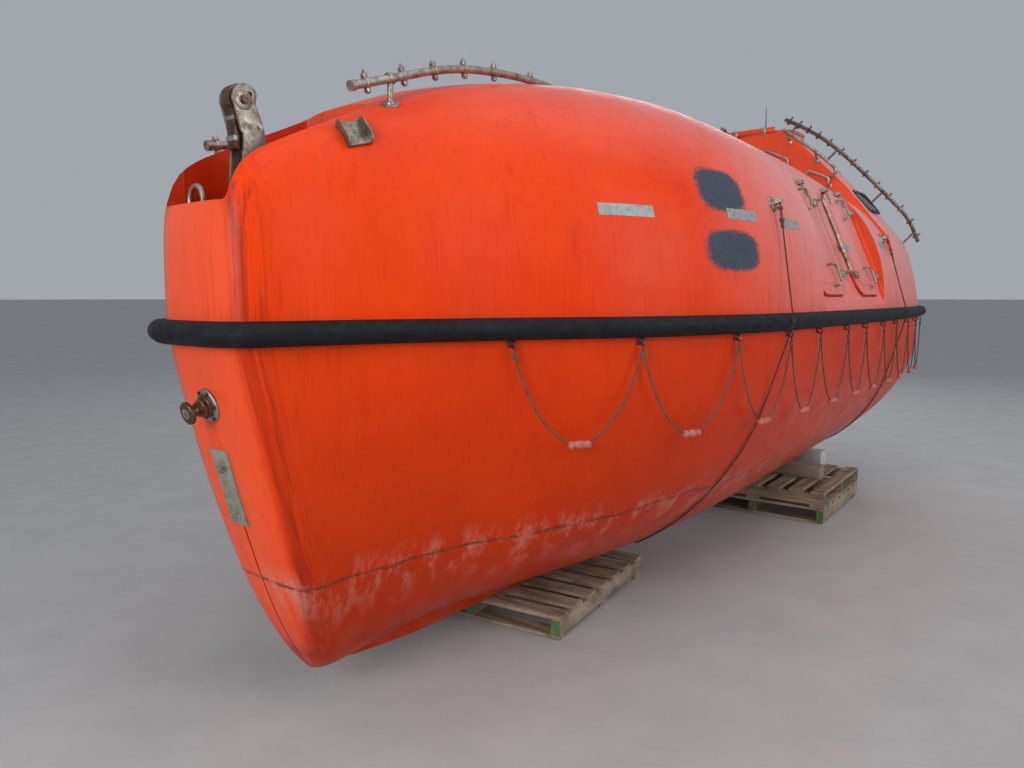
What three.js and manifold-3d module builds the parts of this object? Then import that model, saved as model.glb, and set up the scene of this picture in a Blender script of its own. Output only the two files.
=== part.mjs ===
// Totally enclosed lifeboat with side hatches, an aft conning tower and a steering nozzle,
// set down on two stands of timber pallets. Millimetres, +X towards the bow, +Y to port, +Z up,
// z = 0 at the ground under the pallets. "Aft" is the distance behind the stem at the fender.
import * as THREE from 'three';
import { mergeVertices } from 'three/addons/utils/BufferGeometryUtils.js';
import Module from 'manifold-3d';

const wasm = await Module();
wasm.setup();

// Driving dimensions
const STEM_X = 3025;
const LENGTH = 6050;
const SHEER_Z = 1450;
const WALL = 35;
const SEAT = 0.4;
const TOWER_AFT = 4600;
const TOWER_TOP = 2800;
const AFT_FACE_FOOT_Z = 1520;
const AFT_FACE_SLOPE = 0.643;
const TROUGH = { half: 190, front: 75, back: 620, floor: 1640, lip: 1870 };
const AFT_SLOT = { half: 95, front: 5560, floor: 1640 };
const KEEL = { half: 55, front: 470, back: 5440 };
const SHAFT = { z: 765, front: 5250, back: 5690, radius: 19, hole: 26 };
const TUNNEL = { radius: 248, front: 5470 };
const NOZZLE = { radius: 182, wall: 16, front: 5620, back: 5835, pivot: 5700, stock: 16, stockHole: 21 };
const PALLET = { side: 1000, height: 110, board: 18 };

// Colours and finishes
const paint = (color, roughness, metalness = 0) => ({ color, roughness, metalness });
const ORANGE = paint(0xf0501a, 0.42);
const LINER = paint(0xdcd8cc, 0.6);
const RUBBER = paint(0x17171a, 0.85);
const STEEL = paint(0x9a958c, 0.45, 0.9);
const RUSTY = paint(0x7a5a44, 0.7, 0.6);
const GLASS = paint(0x27333a, 0.08);
const BLACK = paint(0x1c1c1e, 0.6);
const TIMBER = paint(0x9a7c5c, 0.85);
const ROPE = paint(0x8a7f72, 0.9);
const BRONZE = paint(0x8a6a3a, 0.4, 0.9);

const boat = new THREE.Group();

// Hull lines by distance aft of the stem: half breadth at the fender, lowest point of the
// round body, and fullness of the section (2 is an ellipse, more is boxier)
const HULL_LINES = [
  // aft, half, bottom, fullness
  [0, 130, 135, 2.6],
  [45, 242, 131, 2.5],
  [350, 345, 140, 2.1],
  [650, 480, 165, 1.95],
  [910, 600, 185, 1.95],
  [1380, 880, 200, 2.0],
  [1780, 1010, 205, 2.1],
  [2200, 1085, 215, 2.15],
  [2700, 1100, 235, 2.2],
  [3300, 1095, 265, 2.2],
  [4000, 1080, 305, 2.2],
  [4600, 1062, 355, 2.3],
  [5050, 1030, 440, 2.6],
  [5400, 995, 560, 3.0],
  [5700, 960, 715, 3.6],
  [5900, 915, 830, 4.2],
  [6000, 860, 890, 4.4],
  [6050, 760, 940, 4.4],
];

// Canopy lines: crown height on the centreline and fullness of the section
const CANOPY_LINES = [
  // aft, crown, fullness
  [0, 1800, 4.4],
  [20, 1885, 4.4],
  [45, 1960, 4.5],
  [80, 2015, 4.5],
  [140, 2060, 4.3],
  [220, 2100, 4.0],
  [330, 2150, 3.7],
  [480, 2212, 3.4],
  [650, 2290, 3.0],
  [910, 2387, 2.75],
  [1380, 2495, 2.55],
  [1780, 2545, 2.5],
  [2200, 2565, 2.45],
  [3300, 2525, 2.4],
  [4600, 2405, 2.4],
];

// Stem rake below the fender: height, distance aft
const STEM_RAKE = [
  [120, 430],
  [250, 350],
  [450, 262],
  [900, 126],
  [1200, 54],
  [1450, 0],
];

// Keel bottom: aft, height
const KEEL_BOTTOM = [
  [470, 150],
  [560, 122],
  [900, 110.4],
  [2450, 110.4],
  [4200, 314],
  [4320, 320.4],
  [4680, 320.4],
  [5000, 362],
  [5440, 480],
];

// Tower section, port half: share of the half breadth, height
const TOWER_SECTION = [
  [1.0, 1450],
  [0.993, 1600],
  [0.975, 1760],
  [0.93, 1960],
  [0.82, 2115],
  [0.715, 2257],
  [0.6, 2400],
  [0.34, 2676],
  [0.27, 2745],
  [0.2, 2782],
  [0.1, 2798],
  [0, TOWER_TOP],
];

// Smooth curve through a table's column, without overshoot
function column(table, index, at) {
  const last = table.length - 1;
  if (at <= table[0][0]) return table[0][index];
  if (at >= table[last][0]) return table[last][index];
  let i = 0;
  while (table[i + 1][0] < at) i += 1;
  const slope = (a) => {
    if (a <= 0 || a >= last) return null;
    const before = (table[a][index] - table[a - 1][index]) / (table[a][0] - table[a - 1][0]);
    const after = (table[a + 1][index] - table[a][index]) / (table[a + 1][0] - table[a][0]);
    return before * after <= 0 ? 0 : (2 * before * after) / (before + after);
  };
  const span = table[i + 1][0] - table[i][0];
  const chord = (table[i + 1][index] - table[i][index]) / span;
  const start = slope(i) ?? chord;
  const end = slope(i + 1) ?? chord;
  const t = (at - table[i][0]) / span;
  const t2 = t * t;
  const t3 = t2 * t;
  return (
    (2 * t3 - 3 * t2 + 1) * table[i][index] +
    (t3 - 2 * t2 + t) * span * start +
    (3 * t2 - 2 * t3) * table[i + 1][index] +
    (t3 - t2) * span * end
  );
}

const at = (aft, y, z) => new THREE.Vector3(STEM_X - aft, y, z);
const aftFace = (z) => LENGTH - Math.max(0, z - AFT_FACE_FOOT_Z) * AFT_FACE_SLOPE;

// Solids in and out of the boolean library
function solid(geometry) {
  const bare = geometry.clone();
  bare.deleteAttribute('normal');
  bare.deleteAttribute('uv');
  const merged = mergeVertices(bare, 1e-3);
  return new wasm.Manifold(
    new wasm.Mesh({
      numProp: 3,
      vertProperties: new Float32Array(merged.attributes.position.array),
      triVerts: new Uint32Array(merged.index.array),
    }),
  );
}

function geometryOf(shape) {
  const mesh = shape.getMesh();
  const geometry = new THREE.BufferGeometry();
  const places = new THREE.Float32BufferAttribute(Array.from(mesh.vertProperties), 3);
  geometry.setAttribute('position', places);
  geometry.setIndex(Array.from(mesh.triVerts));
  return geometry;
}

const join = (shapes) => shapes.reduce((sum, next) => sum.add(next));

function add(name, shape, finish) {
  const geometry = shape instanceof wasm.Manifold ? geometryOf(shape) : shape;
  geometry.computeVertexNormals();
  const mesh = new THREE.Mesh(geometry, new THREE.MeshStandardMaterial(finish));
  mesh.name = name;
  boat.add(mesh);
}

// Loft through half sections, mirrored to starboard and closed at both ends by strips
function loft(halves) {
  const count = halves[0].length;
  const places = [];
  for (const half of halves) {
    for (const p of half) places.push(p.x, p.y, p.z);
    for (const p of half) places.push(p.x, -p.y, p.z);
  }
  const index = [];
  const port = (ring, j) => ring * 2 * count + j;
  const starboard = (ring, j) => ring * 2 * count + count + j;
  const quad = (a, b, c, d) => index.push(a, b, c, a, c, d);
  for (let ring = 0; ring + 1 < halves.length; ring += 1) {
    for (let j = 0; j + 1 < count; j += 1) {
      quad(port(ring, j), port(ring, j + 1), port(ring + 1, j + 1), port(ring + 1, j));
      quad(
        starboard(ring, j),
        starboard(ring + 1, j),
        starboard(ring + 1, j + 1),
        starboard(ring, j + 1),
      );
    }
    quad(port(ring, 0), port(ring + 1, 0), starboard(ring + 1, 0), starboard(ring, 0));
  }
  const end = halves.length - 1;
  for (let j = 0; j + 1 < count; j += 1) {
    quad(port(0, j), starboard(0, j), starboard(0, j + 1), port(0, j + 1));
    quad(port(end, j), port(end, j + 1), starboard(end, j + 1), starboard(end, j));
  }
  const geometry = new THREE.BufferGeometry();
  geometry.setAttribute('position', new THREE.Float32BufferAttribute(places, 3));
  geometry.setIndex(index);
  const merged = mergeVertices(geometry, 1e-3);
  const kept = [];
  const corners = merged.index.array;
  for (let i = 0; i < corners.length; i += 3) {
    const [a, b, c] = [corners[i], corners[i + 1], corners[i + 2]];
    if (a !== b && b !== c && c !== a) kept.push(a, b, c);
  }
  merged.setIndex(kept);
  const shape = solid(merged);
  if (shape.volume() > 0) return shape;
  for (let i = 0; i < kept.length; i += 3) [kept[i], kept[i + 1]] = [kept[i + 1], kept[i]];
  merged.setIndex(kept);
  return solid(merged);
}

const STATIONS = [
  0, 20, 45, 80, 140, 220, 330, 480, 650, 830, 1060, 1300, 1550, 1850, 2250, 2750, 3350, 4000, 4600,
  5050, 5400, 5650, 5850, 5960, 6020, 6050,
];
const ROOM_STATIONS = [0, 45, 140, 330, 830, 1300, 1850, 2750, 4000, 4600, 5050, 5400, 5700, 5920, 6050];
const GIRTH_STEPS = 10;
const ROOM_STEPS = 7;

// Moves a station inwards at the ends for a wall of the given thickness
const squeeze = (aft, inset) => inset + aft * (1 - (2 * inset) / LENGTH);

// Half section of the lower hull from the fender to the centreline
function hullHalf(aft, inset, rise, steps) {
  const half = column(HULL_LINES, 1, aft) - inset;
  const bottom = column(HULL_LINES, 2, aft) + inset;
  const power = 2 / column(HULL_LINES, 3, aft);
  const fade = Math.max(0, 1 - aft / 1150);
  const points = [];
  if (rise > 0) points.push(at(squeeze(aft, inset), half, SHEER_Z + rise));
  for (let j = 0; j <= steps; j += 1) {
    const turn = (j / steps) * (Math.PI / 2);
    const y = half * Math.max(0, Math.cos(turn)) ** power;
    const z = SHEER_Z - (SHEER_Z - bottom) * Math.sin(turn) ** power;
    const rake = column(STEM_RAKE, 1, z) * fade;
    points.push(at(squeeze(aft, inset) + rake, j === steps ? 0 : y, z));
  }
  return points;
}

// Half section of the canopy from the fender up to the centreline
function canopyHalf(aft, inset, drop, steps) {
  const half = column(HULL_LINES, 1, aft) - inset;
  const crown = column(CANOPY_LINES, 1, aft) - inset;
  const power = 2 / column(CANOPY_LINES, 2, aft);
  const points = [];
  if (drop > 0) points.push(at(squeeze(aft, inset), half, SHEER_Z - drop));
  for (let j = 0; j <= steps; j += 1) {
    const turn = (j / steps) * (Math.PI / 2);
    const y = half * Math.max(0, Math.cos(turn)) ** power;
    const z = SHEER_Z + (crown - SHEER_Z) * Math.sin(turn) ** power;
    points.push(at(squeeze(aft, inset), j === steps ? 0 : y, z));
  }
  return points;
}

// Half section of the tower; the sections shear forward with height to meet the sloping aft face
function towerHalf(aft, inset, drop = 0) {
  const half = column(HULL_LINES, 1, aft) - inset;
  const lead = (aft - TOWER_AFT) / (LENGTH - TOWER_AFT);
  const points = [];
  if (drop > 0) points.push(at(aft - inset * lead, half, SHEER_Z - drop));
  TOWER_SECTION.forEach(([share, height]) => {
    const z = Math.max(SHEER_Z, height - (inset * (height - SHEER_Z)) / (TOWER_TOP - SHEER_Z));
    const reach = TOWER_AFT + (aftFace(z) - inset - TOWER_AFT) * lead;
    points.push(at(reach, share * half, z));
  });
  return points;
}

// Plain solids placed where they belong
function slab(aftFrom, aftTo, yFrom, yTo, zFrom, zTo) {
  const box = new THREE.BoxGeometry(aftTo - aftFrom, yTo - yFrom, zTo - zFrom);
  box.translate(STEM_X - (aftFrom + aftTo) / 2, (yFrom + yTo) / 2, (zFrom + zTo) / 2);
  return solid(box);
}

// Round bar between two points
function bar(from, to, radius, sides = 12, endRadius = radius) {
  const length = from.distanceTo(to);
  const rod = new THREE.CylinderGeometry(endRadius, radius, length, sides);
  rod.translate(0, length / 2, 0);
  const turn = new THREE.Quaternion();
  turn.setFromUnitVectors(new THREE.Vector3(0, 1, 0), to.clone().sub(from).normalize());
  rod.applyQuaternion(turn);
  rod.translate(from.x, from.y, from.z);
  return solid(rod);
}

// Round tube bent through points
function pipe(points, radius, steps, sides = 8, closed = false) {
  const path = new THREE.CatmullRomCurve3(points, closed, 'centripetal');
  const ring = new THREE.Shape();
  for (let i = 0; i < sides; i += 1) {
    const turn = (i / sides) * 2 * Math.PI;
    const [x, y] = [radius * Math.cos(turn), radius * Math.sin(turn)];
    if (i === 0) ring.moveTo(x, y);
    else ring.lineTo(x, y);
  }
  ring.closePath();
  return solid(new THREE.ExtrudeGeometry(ring, { steps, bevelEnabled: false, extrudePath: path }));
}

// Thin line through points that all keep to one side of the boat, with its ends closed
function lineThrough(points, radius, sides) {
  const sideways = new THREE.Vector3(0, 1, 0);
  const places = [];
  points.forEach((p, i) => {
    const before = points[Math.max(0, i - 1)];
    const after = points[Math.min(points.length - 1, i + 1)];
    const along = after.clone().sub(before).normalize();
    const first = new THREE.Vector3().crossVectors(along, sideways).normalize();
    const second = new THREE.Vector3().crossVectors(along, first);
    for (let j = 0; j < sides; j += 1) {
      const turn = (j / sides) * 2 * Math.PI;
      const place = p
        .clone()
        .addScaledVector(first, radius * Math.cos(turn))
        .addScaledVector(second, radius * Math.sin(turn));
      places.push(place.x, place.y, place.z);
    }
  });
  const index = [];
  for (let i = 0; i + 1 < points.length; i += 1) {
    for (let j = 0; j < sides; j += 1) {
      const [a, b] = [i * sides + j, i * sides + ((j + 1) % sides)];
      index.push(a, b, b + sides, a, b + sides, a + sides);
    }
  }
  const end = (points.length - 1) * sides;
  for (let j = 1; j + 1 < sides; j += 1) {
    index.push(0, j + 1, j);
    index.push(end, end + j, end + j + 1);
  }
  const geometry = new THREE.BufferGeometry();
  geometry.setAttribute('position', new THREE.Float32BufferAttribute(places, 3));
  geometry.setIndex(index);
  const shape = solid(geometry);
  if (shape.volume() > 0) return shape;
  geometry.setIndex(index.reverse());
  return solid(geometry);
}

// Outline with round corners in its own plane
function roundedShape(width, height, radius) {
  const [w, h] = [width / 2, height / 2];
  const shape = new THREE.Shape();
  shape.moveTo(-w + radius, -h);
  shape.lineTo(w - radius, -h);
  shape.absarc(w - radius, -h + radius, radius, -Math.PI / 2, 0);
  shape.lineTo(w, h - radius);
  shape.absarc(w - radius, h - radius, radius, 0, Math.PI / 2);
  shape.lineTo(-w + radius, h);
  shape.absarc(-w + radius, h - radius, radius, Math.PI / 2, Math.PI);
  shape.lineTo(-w, -h + radius);
  shape.absarc(-w + radius, -h + radius, radius, Math.PI, 1.5 * Math.PI);
  return shape;
}

// Panel with round corners: centre, across and up directions, thickness centred on the plane
function panel(centre, across, up, width, height, radius, thickness, shift = 0) {
  const geometry = new THREE.ExtrudeGeometry(roundedShape(width, height, radius), {
    depth: thickness,
    bevelEnabled: false,
    curveSegments: 2,
  });
  geometry.translate(0, 0, shift - thickness / 2);
  const out = new THREE.Vector3().crossVectors(across, up);
  geometry.applyMatrix4(new THREE.Matrix4().makeBasis(across, up, out).setPosition(centre));
  return solid(geometry);
}

// Square-cornered block in the same terms
function brick(centre, across, up, width, height, thickness) {
  const geometry = new THREE.BoxGeometry(width, height, thickness);
  const out = new THREE.Vector3().crossVectors(across, up);
  geometry.applyMatrix4(new THREE.Matrix4().makeBasis(across, up, out).setPosition(centre));
  return solid(geometry);
}

// Plate cut to an outline given as aft and height, standing fore and aft at a given y
function sidePlate(outline, y, thickness) {
  const shape = new THREE.Shape(outline.map(([aft, z]) => new THREE.Vector2(STEM_X - aft, z)));
  const geometry = new THREE.ExtrudeGeometry(shape, { depth: thickness, bevelEnabled: false });
  geometry.rotateX(Math.PI / 2);
  geometry.translate(0, y + thickness / 2, 0);
  return solid(geometry);
}

const mirrored = (shape) => shape.mirror([0, 1, 0]);
const SIDES = [
  ['port', 1],
  ['starboard', -1],
];
const onSide = (shape, side) => (side > 0 ? shape : mirrored(shape));

// Side hatches: flat recess in the canopy's side, its plane leaning inwards with height
const RECESS = { front: 2900, back: 4210, low: [1066, 1550], high: [739, 2320] };
const recessUp = new THREE.Vector3(
  0,
  RECESS.high[0] - RECESS.low[0],
  RECESS.high[1] - RECESS.low[1],
).normalize();
const recessOut = new THREE.Vector3(0, recessUp.z, -recessUp.y);
const recessPoint = (aft, along, out) =>
  at(aft, RECESS.low[0], RECESS.low[1])
    .addScaledVector(recessUp, along)
    .addScaledVector(recessOut, out);
const HATCHES = [
  // name, aft of the centre
  ['fore_hatch', 3200],
  ['mid_hatch', 3900],
];
const HATCH = { width: 430, height: 690, radius: 90, middle: 370, gap: 8 };

function recessBlock(out, reach) {
  const middle = recessPoint((RECESS.front + RECESS.back) / 2, 410, out);
  const across = new THREE.Vector3(-1, 0, 0);
  const width = RECESS.back - RECESS.front + reach;
  return panel(middle, across, recessUp, width, 1000, 130, 600, 300);
}

// Hull
const hullOuter = loft(STATIONS.map((aft) => hullHalf(aft, 0, 0, GIRTH_STEPS)));
const hullRoom = loft(ROOM_STATIONS.map((aft) => hullHalf(aft, WALL, 60, ROOM_STEPS)));

function keelSolid() {
  const half = (aft) => {
    const low = column(KEEL_BOTTOM, 1, aft);
    const top = column(HULL_LINES, 2, aft) + 90;
    const width = KEEL.half * Math.min(1, 0.35 + (aft - KEEL.front) / 700);
    return [
      at(aft, width + 8, top),
      at(aft, width, low + 12),
      at(aft, width - 12, low),
      at(aft, 0, low),
    ];
  };
  const stops = [470, 560, 900, 1500, 2450, 3300, 4200, 4320, 4680, 5000, KEEL.back];
  return loft(stops.map(half));
}

function tunnel(extra) {
  const start = at(TUNNEL.front - extra, 0, SHAFT.z);
  return bar(start, at(LENGTH + 90, 0, SHAFT.z), TUNNEL.radius + extra, 40);
}

const keelBody = keelSolid().subtract(slab(SHAFT.front + 60, LENGTH, -200, 200, SHAFT.z, 2000));
const hullShell = hullOuter
  .add(keelBody)
  .subtract(hullRoom.subtract(tunnel(WALL)))
  .subtract(tunnel(0))
  .subtract(bar(at(SHAFT.front - 200, 0, SHAFT.z), at(LENGTH, 0, SHAFT.z), SHAFT.hole, 12))
  .subtract(bar(at(NOZZLE.pivot, 0, 900), at(NOZZLE.pivot, 0, 1300), NOZZLE.stockHole, 12));
add('hull_shell', hullShell, ORANGE);

// Canopy ahead of the tower
const upToTower = (aft) => aft <= TOWER_AFT;
const TOWER_STATIONS = [4600, 5050, 5400, 5650, 5850, 5960, 6020, 6050];
const TOWER_ROOM_STATIONS = [4600, 5050, 5400, 5700, 5920, 6050];

const canopyOuter = loft(STATIONS.filter(upToTower).map((aft) => canopyHalf(aft, 0, 0, GIRTH_STEPS)));
const canopyRoom = loft(
  ROOM_STATIONS.filter(upToTower).map((aft) => canopyHalf(aft, WALL, 40, ROOM_STEPS)),
);
const troughCut = join([
  slab(TROUGH.front, TROUGH.back, -TROUGH.half, TROUGH.half, TROUGH.floor, 3000),
  slab(-200, TROUGH.front + 10, -TROUGH.half, TROUGH.half, TROUGH.lip, 3000),
]);
const troughBox = slab(
  -200,
  TROUGH.back + WALL,
  -TROUGH.half - WALL,
  TROUGH.half + WALL,
  TROUGH.floor - WALL,
  3000,
);

const recesses = (out, reach) => {
  const block = recessBlock(out, reach);
  return block.add(mirrored(block));
};
let canopyShell = canopyOuter
  .subtract(canopyRoom.subtract(troughBox).subtract(recesses(-WALL, 2 * WALL)))
  .subtract(recesses(0, 0));
canopyShell = canopyShell.subtract(troughCut);
const across = new THREE.Vector3(-1, 0, 0);
HATCHES.forEach(([, aft]) => {
  const hole = panel(
    recessPoint(aft, HATCH.middle, 0),
    across,
    recessUp,
    HATCH.width + 2 * HATCH.gap,
    HATCH.height + 2 * HATCH.gap,
    HATCH.radius + HATCH.gap,
    300,
  );
  SIDES.forEach(([, side]) => {
    canopyShell = canopyShell.subtract(onSide(hole, side));
  });
});
const from = (aftFrom, aftTo) => slab(aftFrom, aftTo, -2000, 2000, SHEER_Z + SEAT, 4000);
// Hinge ears beside each knuckle of the side hatches
const HINGE = { out: 22, above: 14, radius: 8, strapShift: 130, half: 18 };
const hingeAlong = HATCH.middle + HATCH.height / 2 + HINGE.above;
HATCHES.forEach(([, aft]) => {
  [-1, 1].forEach((which) => {
    [-1, 1].forEach((end) => {
      const x = aft + which * HINGE.strapShift + end * (HINGE.half + SEAT + 5);
      const ear = brick(recessPoint(x, hingeAlong + 6, 1), across, recessUp, 10, 28, 62);
      SIDES.forEach(([, side]) => {
        canopyShell = canopyShell.add(onSide(ear, side));
      });
    });
  });
});
canopyShell = canopyShell.intersect(from(-500, TOWER_AFT - SEAT));
add('canopy_forward', canopyShell, ORANGE);

// Conning tower over the after body, with its front wall, aft door opening and windows
const FACE_UP = new THREE.Vector3(AFT_FACE_SLOPE, 0, 1).normalize();
const FACE_ACROSS = new THREE.Vector3(0, -1, 0);
const facePoint = (y, z, out) => at(aftFace(z) + out * FACE_UP.z, y, z + out * FACE_UP.x);
const DOOR = { y: -385, z: 1925, width: 480, height: 720, radius: 130, gap: 6 };
const AFT_WINDOW = { y: 290, z: 2490, width: 200, height: 190, radius: 30 };
const FRONT_WINDOW = { y: -145, z: 2595, width: 310, height: 180, radius: 25 };
const SIDE_WINDOW = { aft: 4860, y: 749, z: 2256, width: 300, height: 170, radius: 25 };
const ROOF_HATCH = { aft: 4880, y: 0, width: 420, length: 330, radius: 80 };

const towerOuter = loft(TOWER_STATIONS.map((aft) => towerHalf(aft, 0)));
const towerRoom = loft(TOWER_ROOM_STATIONS.map((aft) => towerHalf(aft, WALL, 40)));
const slotBox = (extra) =>
  slab(
    AFT_SLOT.front - extra,
    LENGTH + 100,
    -AFT_SLOT.half - extra,
    AFT_SLOT.half + extra,
    AFT_SLOT.floor - extra,
    3000,
  );
// The forward body runs into the tower through this opening in its front wall
const passage = loft([TOWER_AFT - 50, TOWER_AFT + 60].map((aft) => canopyHalf(aft, WALL, 40, ROOM_STEPS)));
const glassHole = (centre, acrossDir, upDir, w, extra) =>
  panel(centre, acrossDir, upDir, w.width + extra, w.height + extra, w.radius, 240);

// The side window lies on the tower's sloping shoulder
const shoulderUp = new THREE.Vector3(0, -0.62, 0.785).normalize();
const shoulderOut = new THREE.Vector3().crossVectors(across, shoulderUp);
const shoulderSpot = (out) =>
  at(SIDE_WINDOW.aft, SIDE_WINDOW.y, SIDE_WINDOW.z).addScaledVector(shoulderOut, out);
const PORT = new THREE.Vector3(0, 1, 0);
const UP = new THREE.Vector3(0, 0, 1);
const doorCentre = facePoint(DOOR.y, DOOR.z, 0);
const WINDOW_CUT = -30;

const behindFront = slab(TOWER_AFT + WALL, 7000, -2000, 2000, 0, 4000);
const grown = (size) => size + 2 * DOOR.gap;
const doorHole = [grown(DOOR.width), grown(DOOR.height), DOOR.radius + DOOR.gap];
let towerShell = towerOuter
  .subtract(towerRoom.subtract(slotBox(WALL)).intersect(behindFront))
  .subtract(passage)
  .subtract(slotBox(0))
  .subtract(panel(doorCentre, FACE_ACROSS, FACE_UP, ...doorHole, 240));
// Level slab in the roof hatch's outline, grown all round, with its top above the tower's
function roofSlab(grow, depth, top) {
  const shape = roundedShape(
    ROOF_HATCH.length + 2 * grow,
    ROOF_HATCH.width + 2 * grow,
    ROOF_HATCH.radius + grow,
  );
  const geometry = new THREE.ExtrudeGeometry(shape, { depth, bevelEnabled: false, curveSegments: 2 });
  geometry.translate(STEM_X - ROOF_HATCH.aft, ROOF_HATCH.y, TOWER_TOP + top - depth);
  return solid(geometry);
}
towerShell = towerShell.add(roofSlab(22, 80, 4.6)).subtract(roofSlab(6, 200, 100));
SIDES.forEach(([, side]) => {
  const aftGlass = facePoint(AFT_WINDOW.y * side, AFT_WINDOW.z, 0);
  towerShell = towerShell.subtract(glassHole(aftGlass, FACE_ACROSS, FACE_UP, AFT_WINDOW, WINDOW_CUT));
  const sideHole = glassHole(shoulderSpot(0), across, shoulderUp, SIDE_WINDOW, WINDOW_CUT);
  towerShell = towerShell.subtract(onSide(sideHole, side));
});
const frontGlass = (out) => at(TOWER_AFT - out, FRONT_WINDOW.y, FRONT_WINDOW.z);
towerShell = towerShell
  .subtract(glassHole(frontGlass(0), PORT, UP, FRONT_WINDOW, WINDOW_CUT))
  .intersect(from(TOWER_AFT, 7000));
add('conning_tower', towerShell, ORANGE);

// Fender: a rubber section with a flat back on the joint of hull and canopy, all round
const FENDER_SECTION = [
  // out from the hull, up from the joint
  [SEAT, -35],
  [20, -42],
  [44, -36],
  [58, -20],
  [63, 0],
  [58, 20],
  [44, 36],
  [20, 42],
  [SEAT, 35],
];
function fenderSolid() {
  const port = STATIONS.map((aft) => [STEM_X - aft, column(HULL_LINES, 1, aft)]);
  const loop = [...port, ...port.map(([x, y]) => [x, -y]).reverse()];
  const count = loop.length;
  const unit = (a, b) => {
    const length = Math.hypot(b[0] - a[0], b[1] - a[1]);
    return [(a[1] - b[1]) / length, (b[0] - a[0]) / length];
  };
  const places = [];
  loop.forEach((p, i) => {
    const before = unit(loop[(i + count - 1) % count], p);
    const after = unit(p, loop[(i + 1) % count]);
    const scale = 1 / (1 + before[0] * after[0] + before[1] * after[1]);
    const out = [-(before[0] + after[0]) * scale, -(before[1] + after[1]) * scale];
    FENDER_SECTION.forEach(([reach, rise]) => {
      places.push(p[0] + out[0] * reach, p[1] + out[1] * reach, SHEER_Z + rise);
    });
  });
  const rows = FENDER_SECTION.length;
  const index = [];
  for (let i = 0; i < count; i += 1) {
    for (let j = 0; j < rows; j += 1) {
      const [a, b] = [i * rows + j, i * rows + ((j + 1) % rows)];
      const [c, d] = [((i + 1) % count) * rows + j, ((i + 1) % count) * rows + ((j + 1) % rows)];
      index.push(a, d, b, a, c, d);
    }
  }
  const geometry = new THREE.BufferGeometry();
  geometry.setAttribute('position', new THREE.Float32BufferAttribute(places, 3));
  geometry.setIndex(index);
  return solid(geometry);
}
const gaugeStations = STATIONS.filter(upToTower);
const hullGauge = loft(STATIONS.map((aft) => hullHalf(aft, -SEAT, SEAT, GIRTH_STEPS)));
const canopyGauge = loft(gaugeStations.map((aft) => canopyHalf(aft, -SEAT, SEAT, GIRTH_STEPS)));
const towerGauge = loft(TOWER_STATIONS.map((aft) => towerHalf(aft, -SEAT, SEAT)));
add('fender', fenderSolid(), RUBBER);

// Side hatch doors, hinged along the top
const LEAF = { thickness: WALL - 2, shift: -15.5 };
const hatchSize = [HATCH.width, HATCH.height, HATCH.radius];
SIDES.forEach(([sideName, side]) => {
  HATCHES.forEach(([hatchName, aft]) => {
    const middle = recessPoint(aft, HATCH.middle, 0);
    const leaf = panel(middle, across, recessUp, ...hatchSize, LEAF.thickness, LEAF.shift);
    const straps = [-HINGE.strapShift, HINGE.strapShift].map((shift) => {
      const place = (along, out) => recessPoint(aft + shift, along, out);
      const strap = brick(place(hingeAlong - 36, 4.2), across, recessUp, 36, 72, 7);
      const neck = brick(place(hingeAlong - 4, 13), across, recessUp, 36, 14, 24);
      const half = HINGE.half;
      const ends = [-half, half].map((x) => recessPoint(aft + shift + x, hingeAlong, HINGE.out));
      return join([strap, neck, bar(ends[0], ends[1], HINGE.radius + 4, 8)]);
    });
    const grip = (shift, along, out) => recessPoint(aft + shift, along, out);
    const handlePath = [
      grip(60, 140, -2),
      grip(60, 142, 40),
      grip(52, 160, 54),
      grip(20, 232, 54),
      grip(12, 250, 40),
      grip(12, 252, -2),
    ];
    const dogs = [
      [150, 330],
      [-150, 330],
    ].map(([shift, along]) => bar(grip(shift, along, -2), grip(shift, along, 30), 17, 8));
    const handles = [pipe(handlePath, 8, 8, 5), ...dogs];
    add(`${hatchName}_${sideName}`, onSide(join([leaf, ...straps, ...handles]), side), ORANGE);
  });
});

// Aft door, hinged on its starboard edge
const doorSize = [DOOR.width, DOOR.height, DOOR.radius];
const doorLeaf = panel(doorCentre, FACE_ACROSS, FACE_UP, ...doorSize, LEAF.thickness, LEAF.shift);
const DOOR_HINGE = { out: 24, beyond: 20, spread: 230 };
const doorPoint = (right, along, out) =>
  doorCentre
    .clone()
    .addScaledVector(FACE_ACROSS, right)
    .addScaledVector(FACE_UP, along)
    .add(new THREE.Vector3(-FACE_UP.z * out, 0, FACE_UP.x * out));
const doorHingeSide = DOOR.width / 2 + DOOR_HINGE.beyond;
const doorHinges = [-DOOR_HINGE.spread, DOOR_HINGE.spread].map((along) => {
  const strap = brick(doorPoint(doorHingeSide - 60, along, 5.2), FACE_ACROSS, FACE_UP, 120, 46, 9);
  const neck = brick(doorPoint(doorHingeSide - 6, along, 13.5), FACE_ACROSS, FACE_UP, 14, 46, 25);
  const ends = [-23, 23].map((shift) => doorPoint(doorHingeSide, along + shift, DOOR_HINGE.out));
  return join([strap, neck, bar(ends[0], ends[1], 12, 8)]);
});
const doorDogs = [
  [-170, 235],
  [-170, -235],
  [0, -290],
].map(([right, along]) => {
  const boss = bar(doorPoint(right, along, -2), doorPoint(right, along, 32), 16, 8);
  return boss.add(bar(doorPoint(right, along, 26), doorPoint(right - 46, along - 46, 30), 7, 6));
});
add('aft_door', join([doorLeaf, ...doorHinges, ...doorDogs]), ORANGE);

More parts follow.
